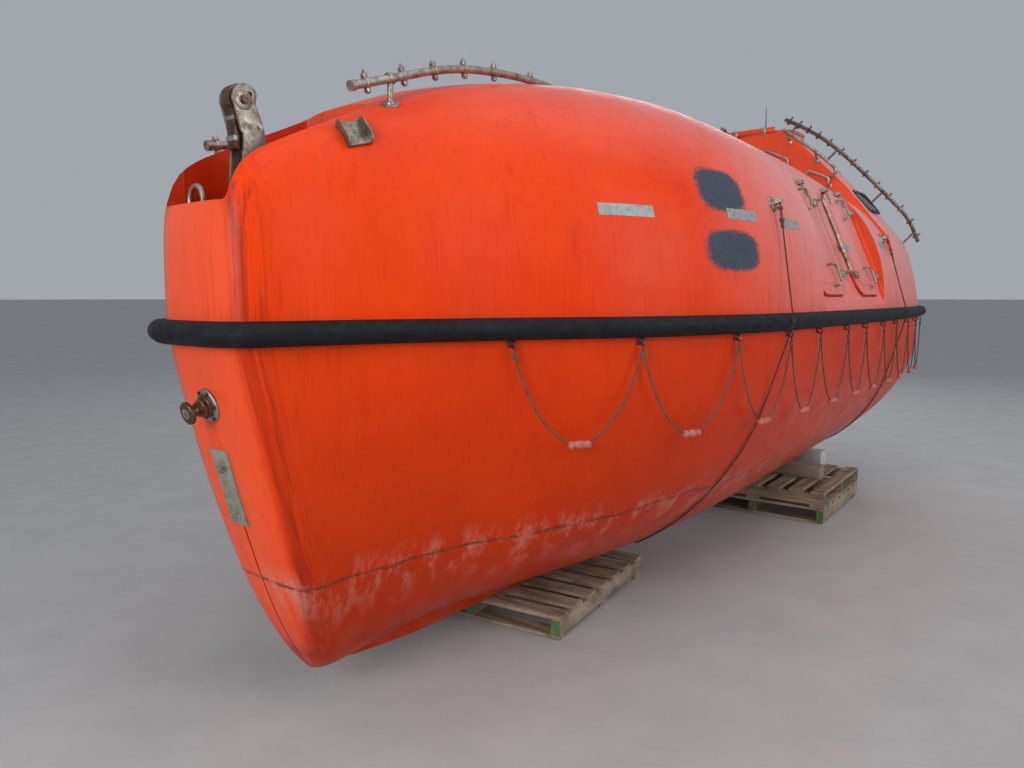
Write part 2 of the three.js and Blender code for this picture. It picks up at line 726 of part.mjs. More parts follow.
// Roof hatch on the tower, hinged at its forward edge
const lidHandle = pipe(
  [
    at(ROOF_HATCH.aft + 120, ROOF_HATCH.y - 70, TOWER_TOP + 30),
    at(ROOF_HATCH.aft + 120, ROOF_HATCH.y - 66, TOWER_TOP + 62),
    at(ROOF_HATCH.aft + 120, ROOF_HATCH.y + 66, TOWER_TOP + 62),
    at(ROOF_HATCH.aft + 120, ROOF_HATCH.y + 70, TOWER_TOP + 30),
  ],
  8,
  10,
  6,
);
add('roof_hatch', join([roofSlab(30, 28, 33), roofSlab(-8, 40, 8), lidHandle]), ORANGE);

// Window panes, each just inside its opening's rim on the face it closes
const PANE = { thickness: 12, out: 6.6 };
const pane = (centre, acrossDir, upDir, w) =>
  panel(centre, acrossDir, upDir, w.width, w.height, w.radius, PANE.thickness).subtract(towerGauge);
const panes = [
  ['aft_window', pane(facePoint(AFT_WINDOW.y, AFT_WINDOW.z, PANE.out), FACE_ACROSS, FACE_UP, AFT_WINDOW)],
  ['side_window', pane(shoulderSpot(PANE.out), across, shoulderUp, SIDE_WINDOW)],
];
SIDES.forEach(([sideName, side]) => {
  panes.forEach(([name, glass]) => add(`${name}_${sideName}`, onSide(glass, side), GLASS));
});
add('front_window', pane(frontGlass(PANE.out), PORT, UP, FRONT_WINDOW), GLASS);

// Lifting hooks: two cheek plates on a foot, with the hook turning on a pin between them
const HOOK = { cheek: 12, gap: 64, pinAhead: 37, pinRise: 579, pin: 16, tongue: 50 };
const CHEEK_OUTLINE = [
  // forward of the foot's middle, height above the foot
  [-75, 8],
  [80, 8],
  [52, 300],
  [38, 453],
  [48, 483],
  [67, 557],
  [75, 582],
  [66, 612],
  [45, 630],
  [20, 635],
  [-6, 624],
  [-16, 603],
  [-12, 575],
  [-42, 485],
  [-62, 300],
];
const HOOK_BODY = [
  // tail between the cheeks, round nose ahead of the pin, and a mouth that opens upwards
  [80, 585],
  [72, 615],
  [50, 632],
  [32, 634],
  [28, 616],
  [20, 604],
  [8, 598],
  [-4, 604],
  [-8, 618],
  [-15, 612],
  [-18, 595],
  [-10, 575],
  [6, 562],
  [22, 545],
  [24, 440],
  [32, 420],
  [52, 420],
  [60, 440],
  [62, 540],
  [78, 560],
];
function hookSolids(aft, floor, facing) {
  const placed = (outline) => outline.map(([ahead, rise]) => [aft - facing * ahead, floor + rise]);
  const hand = facing > 0 ? (o) => o : (o) => [...o].reverse();
  const foot = slab(aft - 95, aft + 95, -75, 75, floor + SEAT, floor + 12);
  const cheeks = [-1, 1].map((side) =>
    sidePlate(hand(placed(CHEEK_OUTLINE)), side * (HOOK.gap + HOOK.cheek) * 0.5, HOOK.cheek),
  );
  const spacers = [
    [-5, 120, 18],
    [0, 330, 14],
  ].map(([ahead, rise, radius]) =>
    bar(
      at(aft - facing * ahead, -HOOK.gap / 2 - 6, floor + rise),
      at(aft - facing * ahead, HOOK.gap / 2 + 6, floor + rise),
      radius,
      10,
    ),
  );
  return { foot, cheeks, spacers, placed, hand };
}
function addHook(name, aft, floor, facing) {
  const { foot, cheeks, spacers, placed, hand } = hookSolids(aft, floor, facing);
  const pinAt = (y) => at(aft - facing * HOOK.pinAhead, y, floor + HOOK.pinRise);
  const pin = bar(pinAt(-54), pinAt(54), HOOK.pin, 14);
  add(`${name}_frame`, join([foot, ...cheeks, ...spacers, pin]), STEEL);
  const tongue = sidePlate(hand(placed(HOOK_BODY)), 0, HOOK.tongue);
  add(name, tongue.subtract(bar(pinAt(-60), pinAt(60), HOOK.pin + 0.5, 14)), STEEL);
}
addHook('fore_hook', 232, TROUGH.floor, 1);
addHook('aft_hook', 5690, AFT_SLOT.floor, -1);

// Height of the canopy's or tower's outer skin over a plan position, found from its section
function skinHeight(aft, y) {
  const half = column(HULL_LINES, 1, aft);
  const share = Math.min(1, Math.abs(y) / half);
  if (aft < TOWER_AFT) {
    const n = column(CANOPY_LINES, 2, aft);
    return SHEER_Z + (column(CANOPY_LINES, 1, aft) - SHEER_Z) * (1 - share ** n) ** (1 / n);
  }
  const rows = TOWER_SECTION;
  let i = 0;
  while (i + 2 < rows.length && rows[i + 1][0] > share) i += 1;
  const t = (rows[i][0] - share) / (rows[i][0] - rows[i + 1][0]);
  return rows[i][1] + t * (rows[i + 1][1] - rows[i][1]);
}

// Water spray pipes: two on the fore lobes, two down the tower's after corners
const SPRAY = { radius: 17, nozzle: 9 };
const sprayNozzle = (place, out) => bar(place, place.clone().add(out), SPRAY.nozzle, 5);
const FORE_PIPES = {
  port: {
    y: 240,
    post: 670,
    nozzles: [558, 734, 895, 1063, 1246],
    // aft, height
    line: [
      [487, 2290],
      [558, 2314],
      [734, 2374],
      [895, 2428],
      [1063, 2470],
      [1246, 2497],
      [1420, 2512],
      [1600, 2516],
      [1700, 2505],
    ],
  },
  starboard: {
    y: 209,
    post: 330,
    nozzles: [240, 300],
    line: [
      [200, 2101],
      [302, 2118],
      [400, 2138],
      [520, 2160],
    ],
  },
};
function forePipe({ y, post, nozzles, line }) {
  const onPipe = (aft) => at(aft, y, column(line, 1, aft));
  const roof = skinHeight(post, y);
  return join([
    pipe(
      line.map(([aft]) => onPipe(aft)),
      SPRAY.radius,
      13,
      7,
    ),
    bar(at(post, y, roof - 14), at(post, y, roof + 10), 38, 8),
    bar(at(post, y, roof), onPipe(post), 11, 6),
    ...nozzles.map((aft) => sprayNozzle(onPipe(aft), new THREE.Vector3(0, 10, 38))),
  ]).subtract(canopyGauge);
}
const TOWER_PIPE = [
  // aft, y, height
  [4540, 250, 2862],
  [4760, 290, 2845],
  [5000, 350, 2800],
  [5200, 452, 2700],
  [5370, 610, 2520],
  [5500, 750, 2350],
  [5600, 870, 2190],
  [5700, 935, 2010],
];
const towerPath = TOWER_PIPE.map(([aft, y, z]) => at(aft, y, z));
const towerPipeCurve = new THREE.CatmullRomCurve3(towerPath, false, 'centripetal');
const TOWER_PIPE_OUT = new THREE.Vector3(-0.3, 0.62, 0.72);
const towerPipe = join([
  pipe(towerPath, 17, 14, 6),
  ...[0.1, 0.4, 0.7, 0.95].map((share) => {
    const place = towerPipeCurve.getPointAt(share);
    const inward = place.clone().addScaledVector(TOWER_PIPE_OUT, -110);
    return bar(inward, place, 10, 5);
  }),
  ...[0.04, 0.2, 0.34, 0.48, 0.62, 0.76, 0.9].map((share) =>
    sprayNozzle(towerPipeCurve.getPointAt(share), TOWER_PIPE_OUT.clone().multiplyScalar(44)),
  ),
]).subtract(towerGauge);
SIDES.forEach(([sideName, side]) => {
  const fore = forePipe(FORE_PIPES[sideName]);
  add(`fore_spray_pipe_${sideName}`, onSide(fore, side), STEEL);
  add(`tower_spray_pipe_${sideName}`, onSide(towerPipe, side), STEEL);
});

// Grab rail between the two side hatches, and a grab rail down the tower's front corner
const RAIL = { aft: 3550, low: 163, high: 640, out: 46, radius: 11 };
const railSpot = (along, out) => recessPoint(RAIL.aft, along, out);
const hatchRail = pipe(
  [
    railSpot(RAIL.low, -20),
    railSpot(RAIL.low, RAIL.out - 16),
    railSpot(RAIL.low + 22, RAIL.out),
    railSpot(RAIL.high - 22, RAIL.out),
    railSpot(RAIL.high, RAIL.out - 16),
    railSpot(RAIL.high, -20),
  ],
  RAIL.radius,
  14,
  6,
).subtract(canopyGauge.subtract(recessBlock(SEAT, 0)));
const towerGrab = pipe(
  [
    at(4625, 335, 2625),
    at(4560, 345, 2655),
    at(4540, 378, 2690),
    at(4535, 490, 2600),
    at(4535, 598, 2492),
    at(4540, 598, 2452),
    at(4562, 576, 2430),
    at(4625, 560, 2425),
  ],
  12,
  16,
  6,
).subtract(towerGauge);
SIDES.forEach(([sideName, side]) => {
  add(`hatch_rail_${sideName}`, onSide(hatchRail, side), STEEL);
  add(`tower_grab_${sideName}`, onSide(towerGrab, side), STEEL);
});

// Bow: towing bollard, bolted plate, painter ring and the flanged brackets on the lobes
const stemNormal = new THREE.Vector3(0.968, 0, -0.25).normalize();
const stemAt = (z) => column(STEM_RAKE, 1, z);
const NOSE_UP = new THREE.Vector3(0.25, 0, 0.968).normalize();
const NOSE_ACROSS = new THREE.Vector3(0, 1, 0);
const noseSpot = (z, out, y = 0) => at(stemAt(z), y, z).addScaledVector(stemNormal, out);
const bollard = join([
  bar(noseSpot(1205, -20), noseSpot(1205, 14), 52, 20),
  bar(noseSpot(1205, 10), noseSpot(1205, 66), 22, 12),
  bar(noseSpot(1205, 60), noseSpot(1205, 90), 40, 16),
]).subtract(hullGauge);
add('bow_bollard', bollard, STEEL);
const bowPlate = brick(noseSpot(905, 0, -14), NOSE_ACROSS, NOSE_UP, 104, 290, 60).subtract(hullGauge);
const plateFront = brick(noseSpot(905, 63), NOSE_ACROSS, NOSE_UP, 300, 500, 110);
add('bow_plate', bowPlate.subtract(plateFront), STEEL);
const RING = { aft: 110, y: -130, z: 1895 };
const ringPath = [];
for (let i = 0; i < 12; i += 1) {
  const turn = (i / 12) * 2 * Math.PI;
  ringPath.push(at(RING.aft, RING.y + 46 * Math.cos(turn), RING.z + 46 * Math.sin(turn)));
}
const ringStem = (z) => at(RING.aft, RING.y, z);
const ringPost = bar(ringStem(TROUGH.floor + SEAT), ringStem(RING.z - 36), 12, 8);
const ringFoot = bar(ringStem(TROUGH.floor + SEAT), ringStem(TROUGH.floor + 12), 34, 12);
add('painter_ring', join([pipe(ringPath, 9, 16, 5, true), ringPost, ringFoot]), STEEL);
const BRACKET = { aft: 462, y: 286 };
const bracketIn = new THREE.Vector3(0, -0.93, 0.36).normalize();
const bracketOut = new THREE.Vector3(0, 0.36, 0.93).normalize();
const bracketSpot = (x, out) =>
  at(BRACKET.aft + x, BRACKET.y, skinHeight(BRACKET.aft, BRACKET.y)).addScaledVector(bracketOut, out);
const bracketBase = brick(bracketSpot(0, -2), across, bracketIn, 92, 110, 22);
const bracketEars = [-41, 41].map((x) => brick(bracketSpot(x, 20), across, bracketIn, 9, 110, 58));
const lobeBracket = join([bracketBase, ...bracketEars]).subtract(canopyGauge);
SIDES.forEach(([sideName, side]) => {
  add(`lobe_bracket_${sideName}`, onSide(lobeBracket, side), STEEL);
});

// Becketed lifelines: eyes on the hull under the fender, a line in bights and a float on each
const LIFELINE = {
  eyes: [920, 1382, 1921, 2400, 2812, 3303, 3693, 4144, 4513, 4960, 5400, 5800],
  eyeZ: 1400,
  loopZ: 1378,
  out: 24,
  drop: 375,
  radius: 5,
  float: 17,
};
function hullOutAt(aft, z, out) {
  const half = column(HULL_LINES, 1, aft);
  const bottom = column(HULL_LINES, 2, aft);
  const n = column(HULL_LINES, 3, aft);
  const depth = Math.min(1, (SHEER_Z - z) / (SHEER_Z - bottom));
  const y = half * (1 - depth ** n) ** (1 / n);
  const y2 = column(HULL_LINES, 1, aft + 40) * (1 - depth ** n) ** (1 / n);
  const slopeAft = (y2 - y) / 40;
  const outward = new THREE.Vector3(slopeAft, 1, depth > 0 ? -0.15 : 0).normalize();
  return at(aft, y, z).addScaledVector(outward, out);
}
// A bight hangs straight down between two eyes, clear of the hull as it turns in below
const eyeLoops = LIFELINE.eyes.map((aft) => hullOutAt(aft, LIFELINE.loopZ, LIFELINE.out));
function bightPoint(i, share) {
  const spot = eyeLoops[i].clone().lerp(eyeLoops[i + 1], share);
  spot.z -= LIFELINE.drop * (4 * share * (1 - share)) ** 0.8;
  return spot;
}
const linePath = [];
eyeLoops.forEach((loop, i) => {
  linePath.push(loop);
  if (i + 1 === eyeLoops.length) return;
  [0.08, 0.24, 0.5, 0.76, 0.92].forEach((share) => linePath.push(bightPoint(i, share)));
});
const lifeline = join([
  lineThrough(linePath, LIFELINE.radius, 4),
  ...LIFELINE.eyes.map((aft) =>
    bar(hullOutAt(aft, LIFELINE.eyeZ, -14), hullOutAt(aft, LIFELINE.eyeZ - 20, 32), 9, 4),
  ),
  ...eyeLoops.slice(1).map((loop, i) => {
    const reach = loop.clone().sub(eyeLoops[i]).setLength(48);
    const middle = bightPoint(i, 0.5);
    return bar(middle.clone().sub(reach), middle.clone().add(reach), LIFELINE.float, 4);
  }),
]).subtract(hullGauge);
SIDES.forEach(([sideName, side]) => add(`lifeline_${sideName}`, onSide(lifeline, side), ROPE));

// Gripe eyes on the canopy sides
const GRIPES = [
  [
    'fore',
    2371,
    2003,
    {
      over: 2292,
      // aft, height
      hull: [
        [2246, 1010],
        [2213, 900],
        [2180, 790],
        [2118, 600],
        [2066, 440],
        [2030, 330],
      ],
    },
  ],
  [
    'aft',
    4480,
    1960,
    {
      over: 4570,
      hull: [
        [4606, 1010],
        [4614, 900],
        [4622, 790],
        [4634, 640],
        [4644, 530],
        [4652, 440],
      ],
    },
  ],
];
function canopyOutAt(aft, z, out) {
  const n = column(CANOPY_LINES, 2, aft);
  const rise = (z - SHEER_Z) / (column(CANOPY_LINES, 1, aft) - SHEER_Z);
  const y = column(HULL_LINES, 1, aft) * (1 - rise ** n) ** (1 / n);
  return at(aft, y, z).add(new THREE.Vector3(0, out * 0.9, out * 0.43));
}
// Each wire hangs from its turnbuckle over the fender and follows the hull down to the keel
const WIRE = { radius: 5, pinClear: 16, sleeve: 12 };
const fenderLip = (aft, z) => at(aft, column(HULL_LINES, 1, aft) + 69, z);
GRIPES.forEach(([place, aft, z, wire]) => {
  const base = bar(canopyOutAt(aft, z, -14), canopyOutAt(aft, z, 12), 40, 8);
  const lug = bar(canopyOutAt(aft, z, 0), canopyOutAt(aft, z, 46), 12, 6);
  const pinEnds = [-26, 26].map((x) => canopyOutAt(aft, z, 40).add(new THREE.Vector3(x, 0, 0)));
  const fitting = join([base, lug, bar(pinEnds[0], pinEnds[1], 9, 5)]).subtract(canopyGauge);
  const pin = canopyOutAt(aft, z, 40);
  const lip = fenderLip(wire.over, SHEER_Z + 12);
  const along = lip.clone().sub(pin).normalize();
  const [top, foot] = [WIRE.pinClear, 120].map((d) => pin.clone().addScaledVector(along, d));
  const down = wire.hull.map(([a, h]) => hullOutAt(a, h, WIRE.radius));
  const line = lineThrough([foot, lip, fenderLip(wire.over, SHEER_Z - 12), ...down], WIRE.radius, 6);
  const sling = join([bar(top, foot, WIRE.sleeve, 8), line]).subtract(hullGauge).subtract(canopyGauge);
  SIDES.forEach(([sideName, side]) => {
    add(`gripe_eye_${place}_${sideName}`, onSide(fitting, side), STEEL);
    add(`gripe_wire_${place}_${sideName}`, onSide(sling, side), STEEL);
  });
});

// Stern gear: shaft, propeller, steering nozzle on its stock, and the shoe under it
const shaftAt = (aft) => at(aft, 0, SHAFT.z);
add('propeller_shaft', bar(shaftAt(SHAFT.front), shaftAt(SHAFT.back), SHAFT.radius, 14), STEEL);
const SHOE = [
  // aft, height
  [5150, 425],
  [5446, 500],
  [5446, 560],
  [5600, 556],
  [5790, 556],
  [5790, 528],
  [5600, 524],
  [5440, 470],
  [5150, 385],
];

const shoeBar = sidePlate(SHOE, 0, 40).subtract(hullGauge);
add('skeg_shoe', shoeBar.subtract(keelSolid().translate([0, 0, -SEAT]).add(keelSolid())), RUSTY);
const stockTop = 1060;
const nozzleProfile = [
  // radius, along the shaft
  [NOZZLE.radius - NOZZLE.wall + 4, NOZZLE.front],
  [NOZZLE.radius, NOZZLE.front + 14],
  [NOZZLE.radius, NOZZLE.front + 110],
  [NOZZLE.radius - 10, NOZZLE.back],
  [NOZZLE.radius - NOZZLE.wall - 5, NOZZLE.back],
  [NOZZLE.radius - NOZZLE.wall, NOZZLE.front + 100],
];
const ringPoints = [...nozzleProfile, nozzleProfile[0]].map(([r, aft]) => new THREE.Vector2(r, aft));
const nozzleRing = new THREE.LatheGeometry(ringPoints, 24);
nozzleRing.rotateZ(Math.PI / 2);
nozzleRing.translate(STEM_X, 0, SHAFT.z);
const positiveVolume = (shape, flip) => (shape.volume() > 0 ? shape : flip());
const nozzleSolid = positiveVolume(solid(nozzleRing), () => {
  nozzleRing.setIndex(Array.from(nozzleRing.index.array).reverse());
  return solid(nozzleRing);
});
const pivotAt = (z) => at(NOZZLE.pivot, 0, z);
const stock = bar(pivotAt(SHAFT.z + NOZZLE.radius - 12), pivotAt(stockTop), NOZZLE.stock, 12);
const heelPin = bar(pivotAt(556.4), pivotAt(SHAFT.z - NOZZLE.radius + 12), 20, 12);
const vane = slab(NOZZLE.back - 58, NOZZLE.back - 2, -7, 7, SHAFT.z - 165, SHAFT.z + 165);
add('steering_nozzle', join([nozzleSolid, stock, heelPin, vane]), ORANGE);

// Propeller: three blades on a boss
const PROP = { aft: NOZZLE.pivot, boss: 36, tip: 150 };
const boss = bar(shaftAt(PROP.aft - 36), shaftAt(PROP.aft + 40), PROP.boss, 14, 22);
const blades = [0, 1, 2].map((i) => {
  const shape = new THREE.Shape();
  shape.moveTo(-16, 20);
  shape.lineTo(-52, 92);
  shape.lineTo(-44, 134);
  shape.lineTo(-8, PROP.tip);
  shape.lineTo(34, 138);
  shape.lineTo(46, 92);
  shape.lineTo(18, 20);
  const blade = new THREE.ExtrudeGeometry(shape, { depth: 8, bevelEnabled: false });
  blade.translate(0, 0, -4);
  blade.rotateY(Math.PI / 2);
  const pitch = new THREE.Matrix4().makeRotationY(0.55);
  blade.applyMatrix4(pitch);
  blade.rotateX((i * 2 * Math.PI) / 3);
  blade.translate(STEM_X - PROP.aft, 0, SHAFT.z);
  return solid(blade);
});
const propellerBore = bar(shaftAt(PROP.aft - 60), shaftAt(SHAFT.back + 1), SHAFT.radius + 1, 14);
add('propeller', join([boss, ...blades]).subtract(propellerBore), BRONZE);

// Inside: floor with side benches, engine, helm seat and console
const ROOM = { front: 900, back: 5250, floor: 430, bench: 860 };
const insideHull = loft(ROOM_STATIONS.map((aft) => hullHalf(aft, WALL + SEAT, 60, ROOM_STEPS)));
const linerBlock = join([
  slab(ROOM.front, ROOM.back, -1000, 1000, ROOM.floor - 25, ROOM.floor),
  slab(ROOM.front, ROOM.back, -1000, -430, ROOM.floor - 25, ROOM.bench),
  slab(ROOM.front, ROOM.back, 430, 1000, ROOM.floor - 25, ROOM.bench),
  slab(ROOM.front, ROOM.front + 300, -600, 600, ROOM.floor - 25, ROOM.bench),
  slab(ROOM.back - 60, ROOM.back, -900, 900, ROOM.floor - 25, ROOM.bench),
]).intersect(insideHull);
add('inner_liner', linerBlock, LINER);
const ENGINE = { front: 4300, back: 4980, half: 240, top: 1010 };
const { front, back, half, top } = ENGINE;
const engineBlock = slab(front, back, -half, half, ROOM.floor + SEAT, top);
add('engine_block', engineBlock.intersect(insideHull), BLACK);
const seatBack = slab(4960, 5040, -200, 200, ENGINE.top + SEAT, 1850);
add('helm_seat', seatBack.add(slab(4640, 5000, -220, 220, ENGINE.top + SEAT, 1330)), BLACK);
const consoleColumn = slab(4100, 4280, -230, 230, ROOM.floor + SEAT, 1620);
add('helm_console', consoleColumn, LINER);

// Timber pallets: deck boards over three stringer boards, blocks and bottom boards
function pallet(aft, y, base, turn) {
  const half = PALLET.side / 2;
  const boards = [];
  const lay = (x0, x1, y0, y1, z0, z1) => {
    const box = new THREE.BoxGeometry(x1 - x0, y1 - y0, z1 - z0);
    box.translate((x0 + x1) / 2, (y0 + y1) / 2, (z0 + z1) / 2);
    boards.push(solid(box));
  };
  const deckFoot = PALLET.height - PALLET.board;
  const pitch = (PALLET.side - 96) / 6;
  for (let i = 0; i < 7; i += 1) {
    const x0 = i * pitch - half;
    lay(x0, x0 + 96, -half, half, deckFoot, PALLET.height);
  }
  [-half, -24, half - 48].forEach((y0) => {
    lay(-half, half, y0, y0 + 48, PALLET.board - 2, deckFoot + 2);
  });
  [-half, -50, half - 100].forEach((x0) => lay(x0, x0 + 100, -half, half, 0, PALLET.board));
  const whole = join(boards).rotate([0, 0, turn]);
  return whole.translate([STEM_X - aft, y, base]);
}
const TIMBER_BEAM = { side: 100, front: 4450, yFrom: -330, yTo: 640 };
add('pallet_front', pallet(1876, -120, 0, 8.5), TIMBER);
add('pallet_rear_lower', pallet(4542, 265, 0, 3.2), TIMBER);
add('pallet_rear_upper', pallet(4542, 265, PALLET.height + SEAT, 93.2), TIMBER);
const beamFoot = 2 * PALLET.height + 2 * SEAT;
add(
  'timber_beam',
  slab(TIMBER_BEAM.front, TIMBER_BEAM.front + 100, TIMBER_BEAM.yFrom, TIMBER_BEAM.yTo, beamFoot, 320),
  TIMBER,
);
add('bilge_block', slab(4885, 5010, 265, 505, beamFoot, 345), LINER);

// Flat rail on two posts along the front edge of the tower's roof
const ROOF_RAIL = { aft: 4616, ends: [-222, 138], low: 2806, high: 2846, posts: [-172, 52] };
const railPosts = ROOF_RAIL.posts.map((y) =>
  bar(at(ROOF_RAIL.aft + 8, y, 2760), at(ROOF_RAIL.aft + 8, y, ROOF_RAIL.low + 20), 11, 8),
);
const railFlat = slab(
  ROOF_RAIL.aft - 6,
  ROOF_RAIL.aft + 6,
  ROOF_RAIL.ends[0],
  ROOF_RAIL.ends[1],
  ROOF_RAIL.low,
  ROOF_RAIL.high,
);
add('roof_rail', join([railFlat, ...railPosts]).subtract(towerGauge), STEEL);

// Searchlight on the aft face under the starboard window, and a whip aerial on the roof
const lampSpot = (out) => facePoint(-290, 2375, out);
const lampBase = bar(lampSpot(-20), lampSpot(60), 20, 8);
const lampHead = bar(
  lampSpot(78).add(new THREE.Vector3(34, 0, -6)),
  lampSpot(78).add(new THREE.Vector3(-62, 0, 10)),
  44,
  12,
  56,
);
add('searchlight', lampBase.add(lampHead).subtract(towerGauge), STEEL);
const AERIAL = { aft: 5160, y: -150, foot: TOWER_TOP - 60 };
const aerialAt = (z) => at(AERIAL.aft, AERIAL.y, z);
const aerial = bar(aerialAt(AERIAL.foot), aerialAt(TOWER_TOP + 40), 18, 8).add(
  bar(aerialAt(TOWER_TOP + 30), aerialAt(TOWER_TOP + 320), 6, 6),
);
add('aerial', aerial.subtract(towerGauge), BLACK);

export default boat;
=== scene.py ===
import math

import bmesh
import bpy
from mathutils import Matrix, Vector
from mathutils.bvhtree import BVHTree


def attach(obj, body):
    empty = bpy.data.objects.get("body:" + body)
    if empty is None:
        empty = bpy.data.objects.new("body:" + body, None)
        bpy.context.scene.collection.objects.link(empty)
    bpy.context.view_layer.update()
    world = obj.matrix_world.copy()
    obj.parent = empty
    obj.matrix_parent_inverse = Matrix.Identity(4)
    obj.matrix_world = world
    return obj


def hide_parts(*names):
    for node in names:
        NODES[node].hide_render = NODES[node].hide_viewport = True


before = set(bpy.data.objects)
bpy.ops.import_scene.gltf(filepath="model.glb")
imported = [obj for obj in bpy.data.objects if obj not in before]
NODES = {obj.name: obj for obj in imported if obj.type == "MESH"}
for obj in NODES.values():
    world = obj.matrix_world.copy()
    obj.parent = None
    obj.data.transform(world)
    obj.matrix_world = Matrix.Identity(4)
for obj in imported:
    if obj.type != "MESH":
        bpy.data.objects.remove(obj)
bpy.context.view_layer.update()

STEM_X = 3.025
LENGTH = 6.05
SHEER = 1.45
WALL = 0.035
TOWER_AFT = 4.6
TOWER_TOP = 2.8
FACE_FOOT = 1.52
FACE_SLOPE = 0.643
SHAFT_Z = 0.765
PIVOT_AFT = 5.7

HULL_LINES = [
    # aft, half, bottom, fullness
    (0.0, 0.130, 0.135, 2.6), (0.034, 0.231, 0.1315, 2.5), (0.045, 0.242, 0.131, 2.5),
    (0.35, 0.345, 0.140, 2.1),
    (0.65, 0.480, 0.165, 1.95), (0.91, 0.600, 0.185, 1.95), (1.38, 0.880, 0.200, 2.0),
    (1.78, 1.010, 0.205, 2.1), (2.2, 1.085, 0.215, 2.15), (2.7, 1.100, 0.235, 2.2),
    (3.3, 1.095, 0.265, 2.2), (4.0, 1.080, 0.305, 2.2), (4.6, 1.062, 0.355, 2.3),
    (5.05, 1.030, 0.440, 2.6), (5.4, 0.995, 0.560, 3.0), (5.7, 0.960, 0.715, 3.6),
    (5.9, 0.915, 0.830, 4.2), (6.0, 0.860, 0.890, 4.4), (6.05, 0.760, 0.940, 4.4),
]
CANOPY_LINES = [
    # aft, crown, fullness
    (0.0, 1.800, 4.4), (0.02, 1.885, 4.4), (0.045, 1.960, 4.5), (0.08, 2.015, 4.5),
    (0.14, 2.060, 4.3), (0.22, 2.100, 4.0), (0.33, 2.150, 3.7), (0.48, 2.212, 3.4),
    (0.65, 2.290, 3.0), (0.91, 2.387, 2.75), (1.38, 2.495, 2.55), (1.78, 2.545, 2.5),
    (2.2, 2.565, 2.45), (3.3, 2.525, 2.4), (4.6, 2.405, 2.4),
]
STEM_RAKE = [
    # height, distance aft
    (0.12, 0.43), (0.25, 0.35), (0.45, 0.262), (0.9, 0.126), (1.2, 0.054), (1.45, 0.0),
]
KEEL_BOTTOM = [
    # aft, height
    (0.47, 0.150), (0.56, 0.122), (0.9, 0.1104), (2.45, 0.1104), (4.2, 0.314),
    (4.32, 0.3204), (4.68, 0.3204), (5.0, 0.362), (5.44, 0.480),
]
TOWER_SECTION = [
    # share of the half breadth, height
    (1.0, 1.45), (0.993, 1.6), (0.975, 1.76), (0.93, 1.96), (0.82, 2.115), (0.715, 2.257),
    (0.6, 2.40), (0.34, 2.676), (0.27, 2.745), (0.2, 2.782), (0.1, 2.798), (0.0, 2.8),
]


def column(table, index, where):
    """Smooth curve through one column of a table, without overshoot."""
    last = len(table) - 1
    if where <= table[0][0]:
        return table[0][index]
    if where >= table[last][0]:
        return table[last][index]
    i = 0
    while table[i + 1][0] < where:
        i += 1

    def slope(a):
        if a <= 0 or a >= last:
            return None
        before = (table[a][index] - table[a - 1][index]) / (table[a][0] - table[a - 1][0])
        after = (table[a + 1][index] - table[a][index]) / (table[a + 1][0] - table[a][0])
        return 0 if before * after <= 0 else 2 * before * after / (before + after)

    span = table[i + 1][0] - table[i][0]
    chord = (table[i + 1][index] - table[i][index]) / span
    start = slope(i)
    end = slope(i + 1)
    start = chord if start is None else start
    end = chord if end is None else end
    t = (where - table[i][0]) / span
    return ((2 * t**3 - 3 * t**2 + 1) * table[i][index] + (t**3 - 2 * t**2 + t) * span * start
            + (3 * t**2 - 2 * t**3) * table[i + 1][index] + (t**3 - t**2) * span * end)


def at(aft, y, z):
    return Vector((STEM_X - aft, y, z))


def aft_face(z):
    return LENGTH - max(0.0, z - FACE_FOOT) * FACE_SLOPE


def lift(z):
    return Vector((0, 0, z))


# Mesh helpers: ends of an edge this close in height count as level, and fasteners sink a little

LEVEL = 1e-6
SUNK = -0.002
UP = lift(1)


def meshed(name, bm):
    """A mesh from a bmesh, which is freed."""
    mesh = bpy.data.meshes.new(name)
    bm.to_mesh(mesh)
    bm.free()
    return mesh


def put(name, data):
    """An object in the scene round a mesh, curve, light or camera."""
    made = bpy.data.objects.new(name, data)
    bpy.context.scene.collection.objects.link(made)
    return made


def dress(name, mesh, finish, body="root", smooth=30, replaces=()):
    """A named piece round a mesh, with its finishes, riding on a body."""
    piece = put(name, mesh)
    finishes = finish if isinstance(finish, list) else [finish]
    mesh.materials.clear()
    for material in finishes:
        mesh.materials.append(material)
    if smooth:
        mesh.shade_smooth()
        mesh.set_sharp_from_angle(angle=math.radians(smooth))
    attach(piece, body)
    if replaces:
        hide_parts(*replaces)
    return piece


def new_piece(name, bm, finish, body="root", smooth=30, replaces=()):
    return dress(name, meshed(name, bm), finish, body, smooth, replaces)


def settled(piece):
    """Applies a piece's modifiers and gives its mesh."""
    graph = bpy.context.evaluated_depsgraph_get()
    return bpy.data.meshes.new_from_object(piece.evaluated_get(graph))


def loose(name, bm):
    """An object for the workbench only, dropped after use."""
    return put(name, meshed(name, bm))


def mesh_of(piece):
    """A loose object's mesh, with the object dropped."""
    mesh = piece.data.copy()
    bpy.data.objects.remove(piece)
    return mesh


def carve(piece, tool, operation="DIFFERENCE"):
    """Cuts a piece with a bmesh or a loose object, which is used up."""
    tool = tool if isinstance(tool, bpy.types.Object) else loose("tool", tool)
    step = piece.modifiers.new("carve", "BOOLEAN")
    step.operation = operation
    step.solver = "EXACT"
    step.object = tool
    mesh = settled(piece)
    piece.modifiers.clear()
    old = piece.data
    piece.data = mesh
    bpy.data.meshes.remove(old)
    bpy.data.objects.remove(tool)


def bevel(bm, geom, offset, segments=2, affect="EDGES"):
    bmesh.ops.bevel(bm, geom=geom, offset=offset, segments=segments, affect=affect, profile=0.5,
                    material=-1)


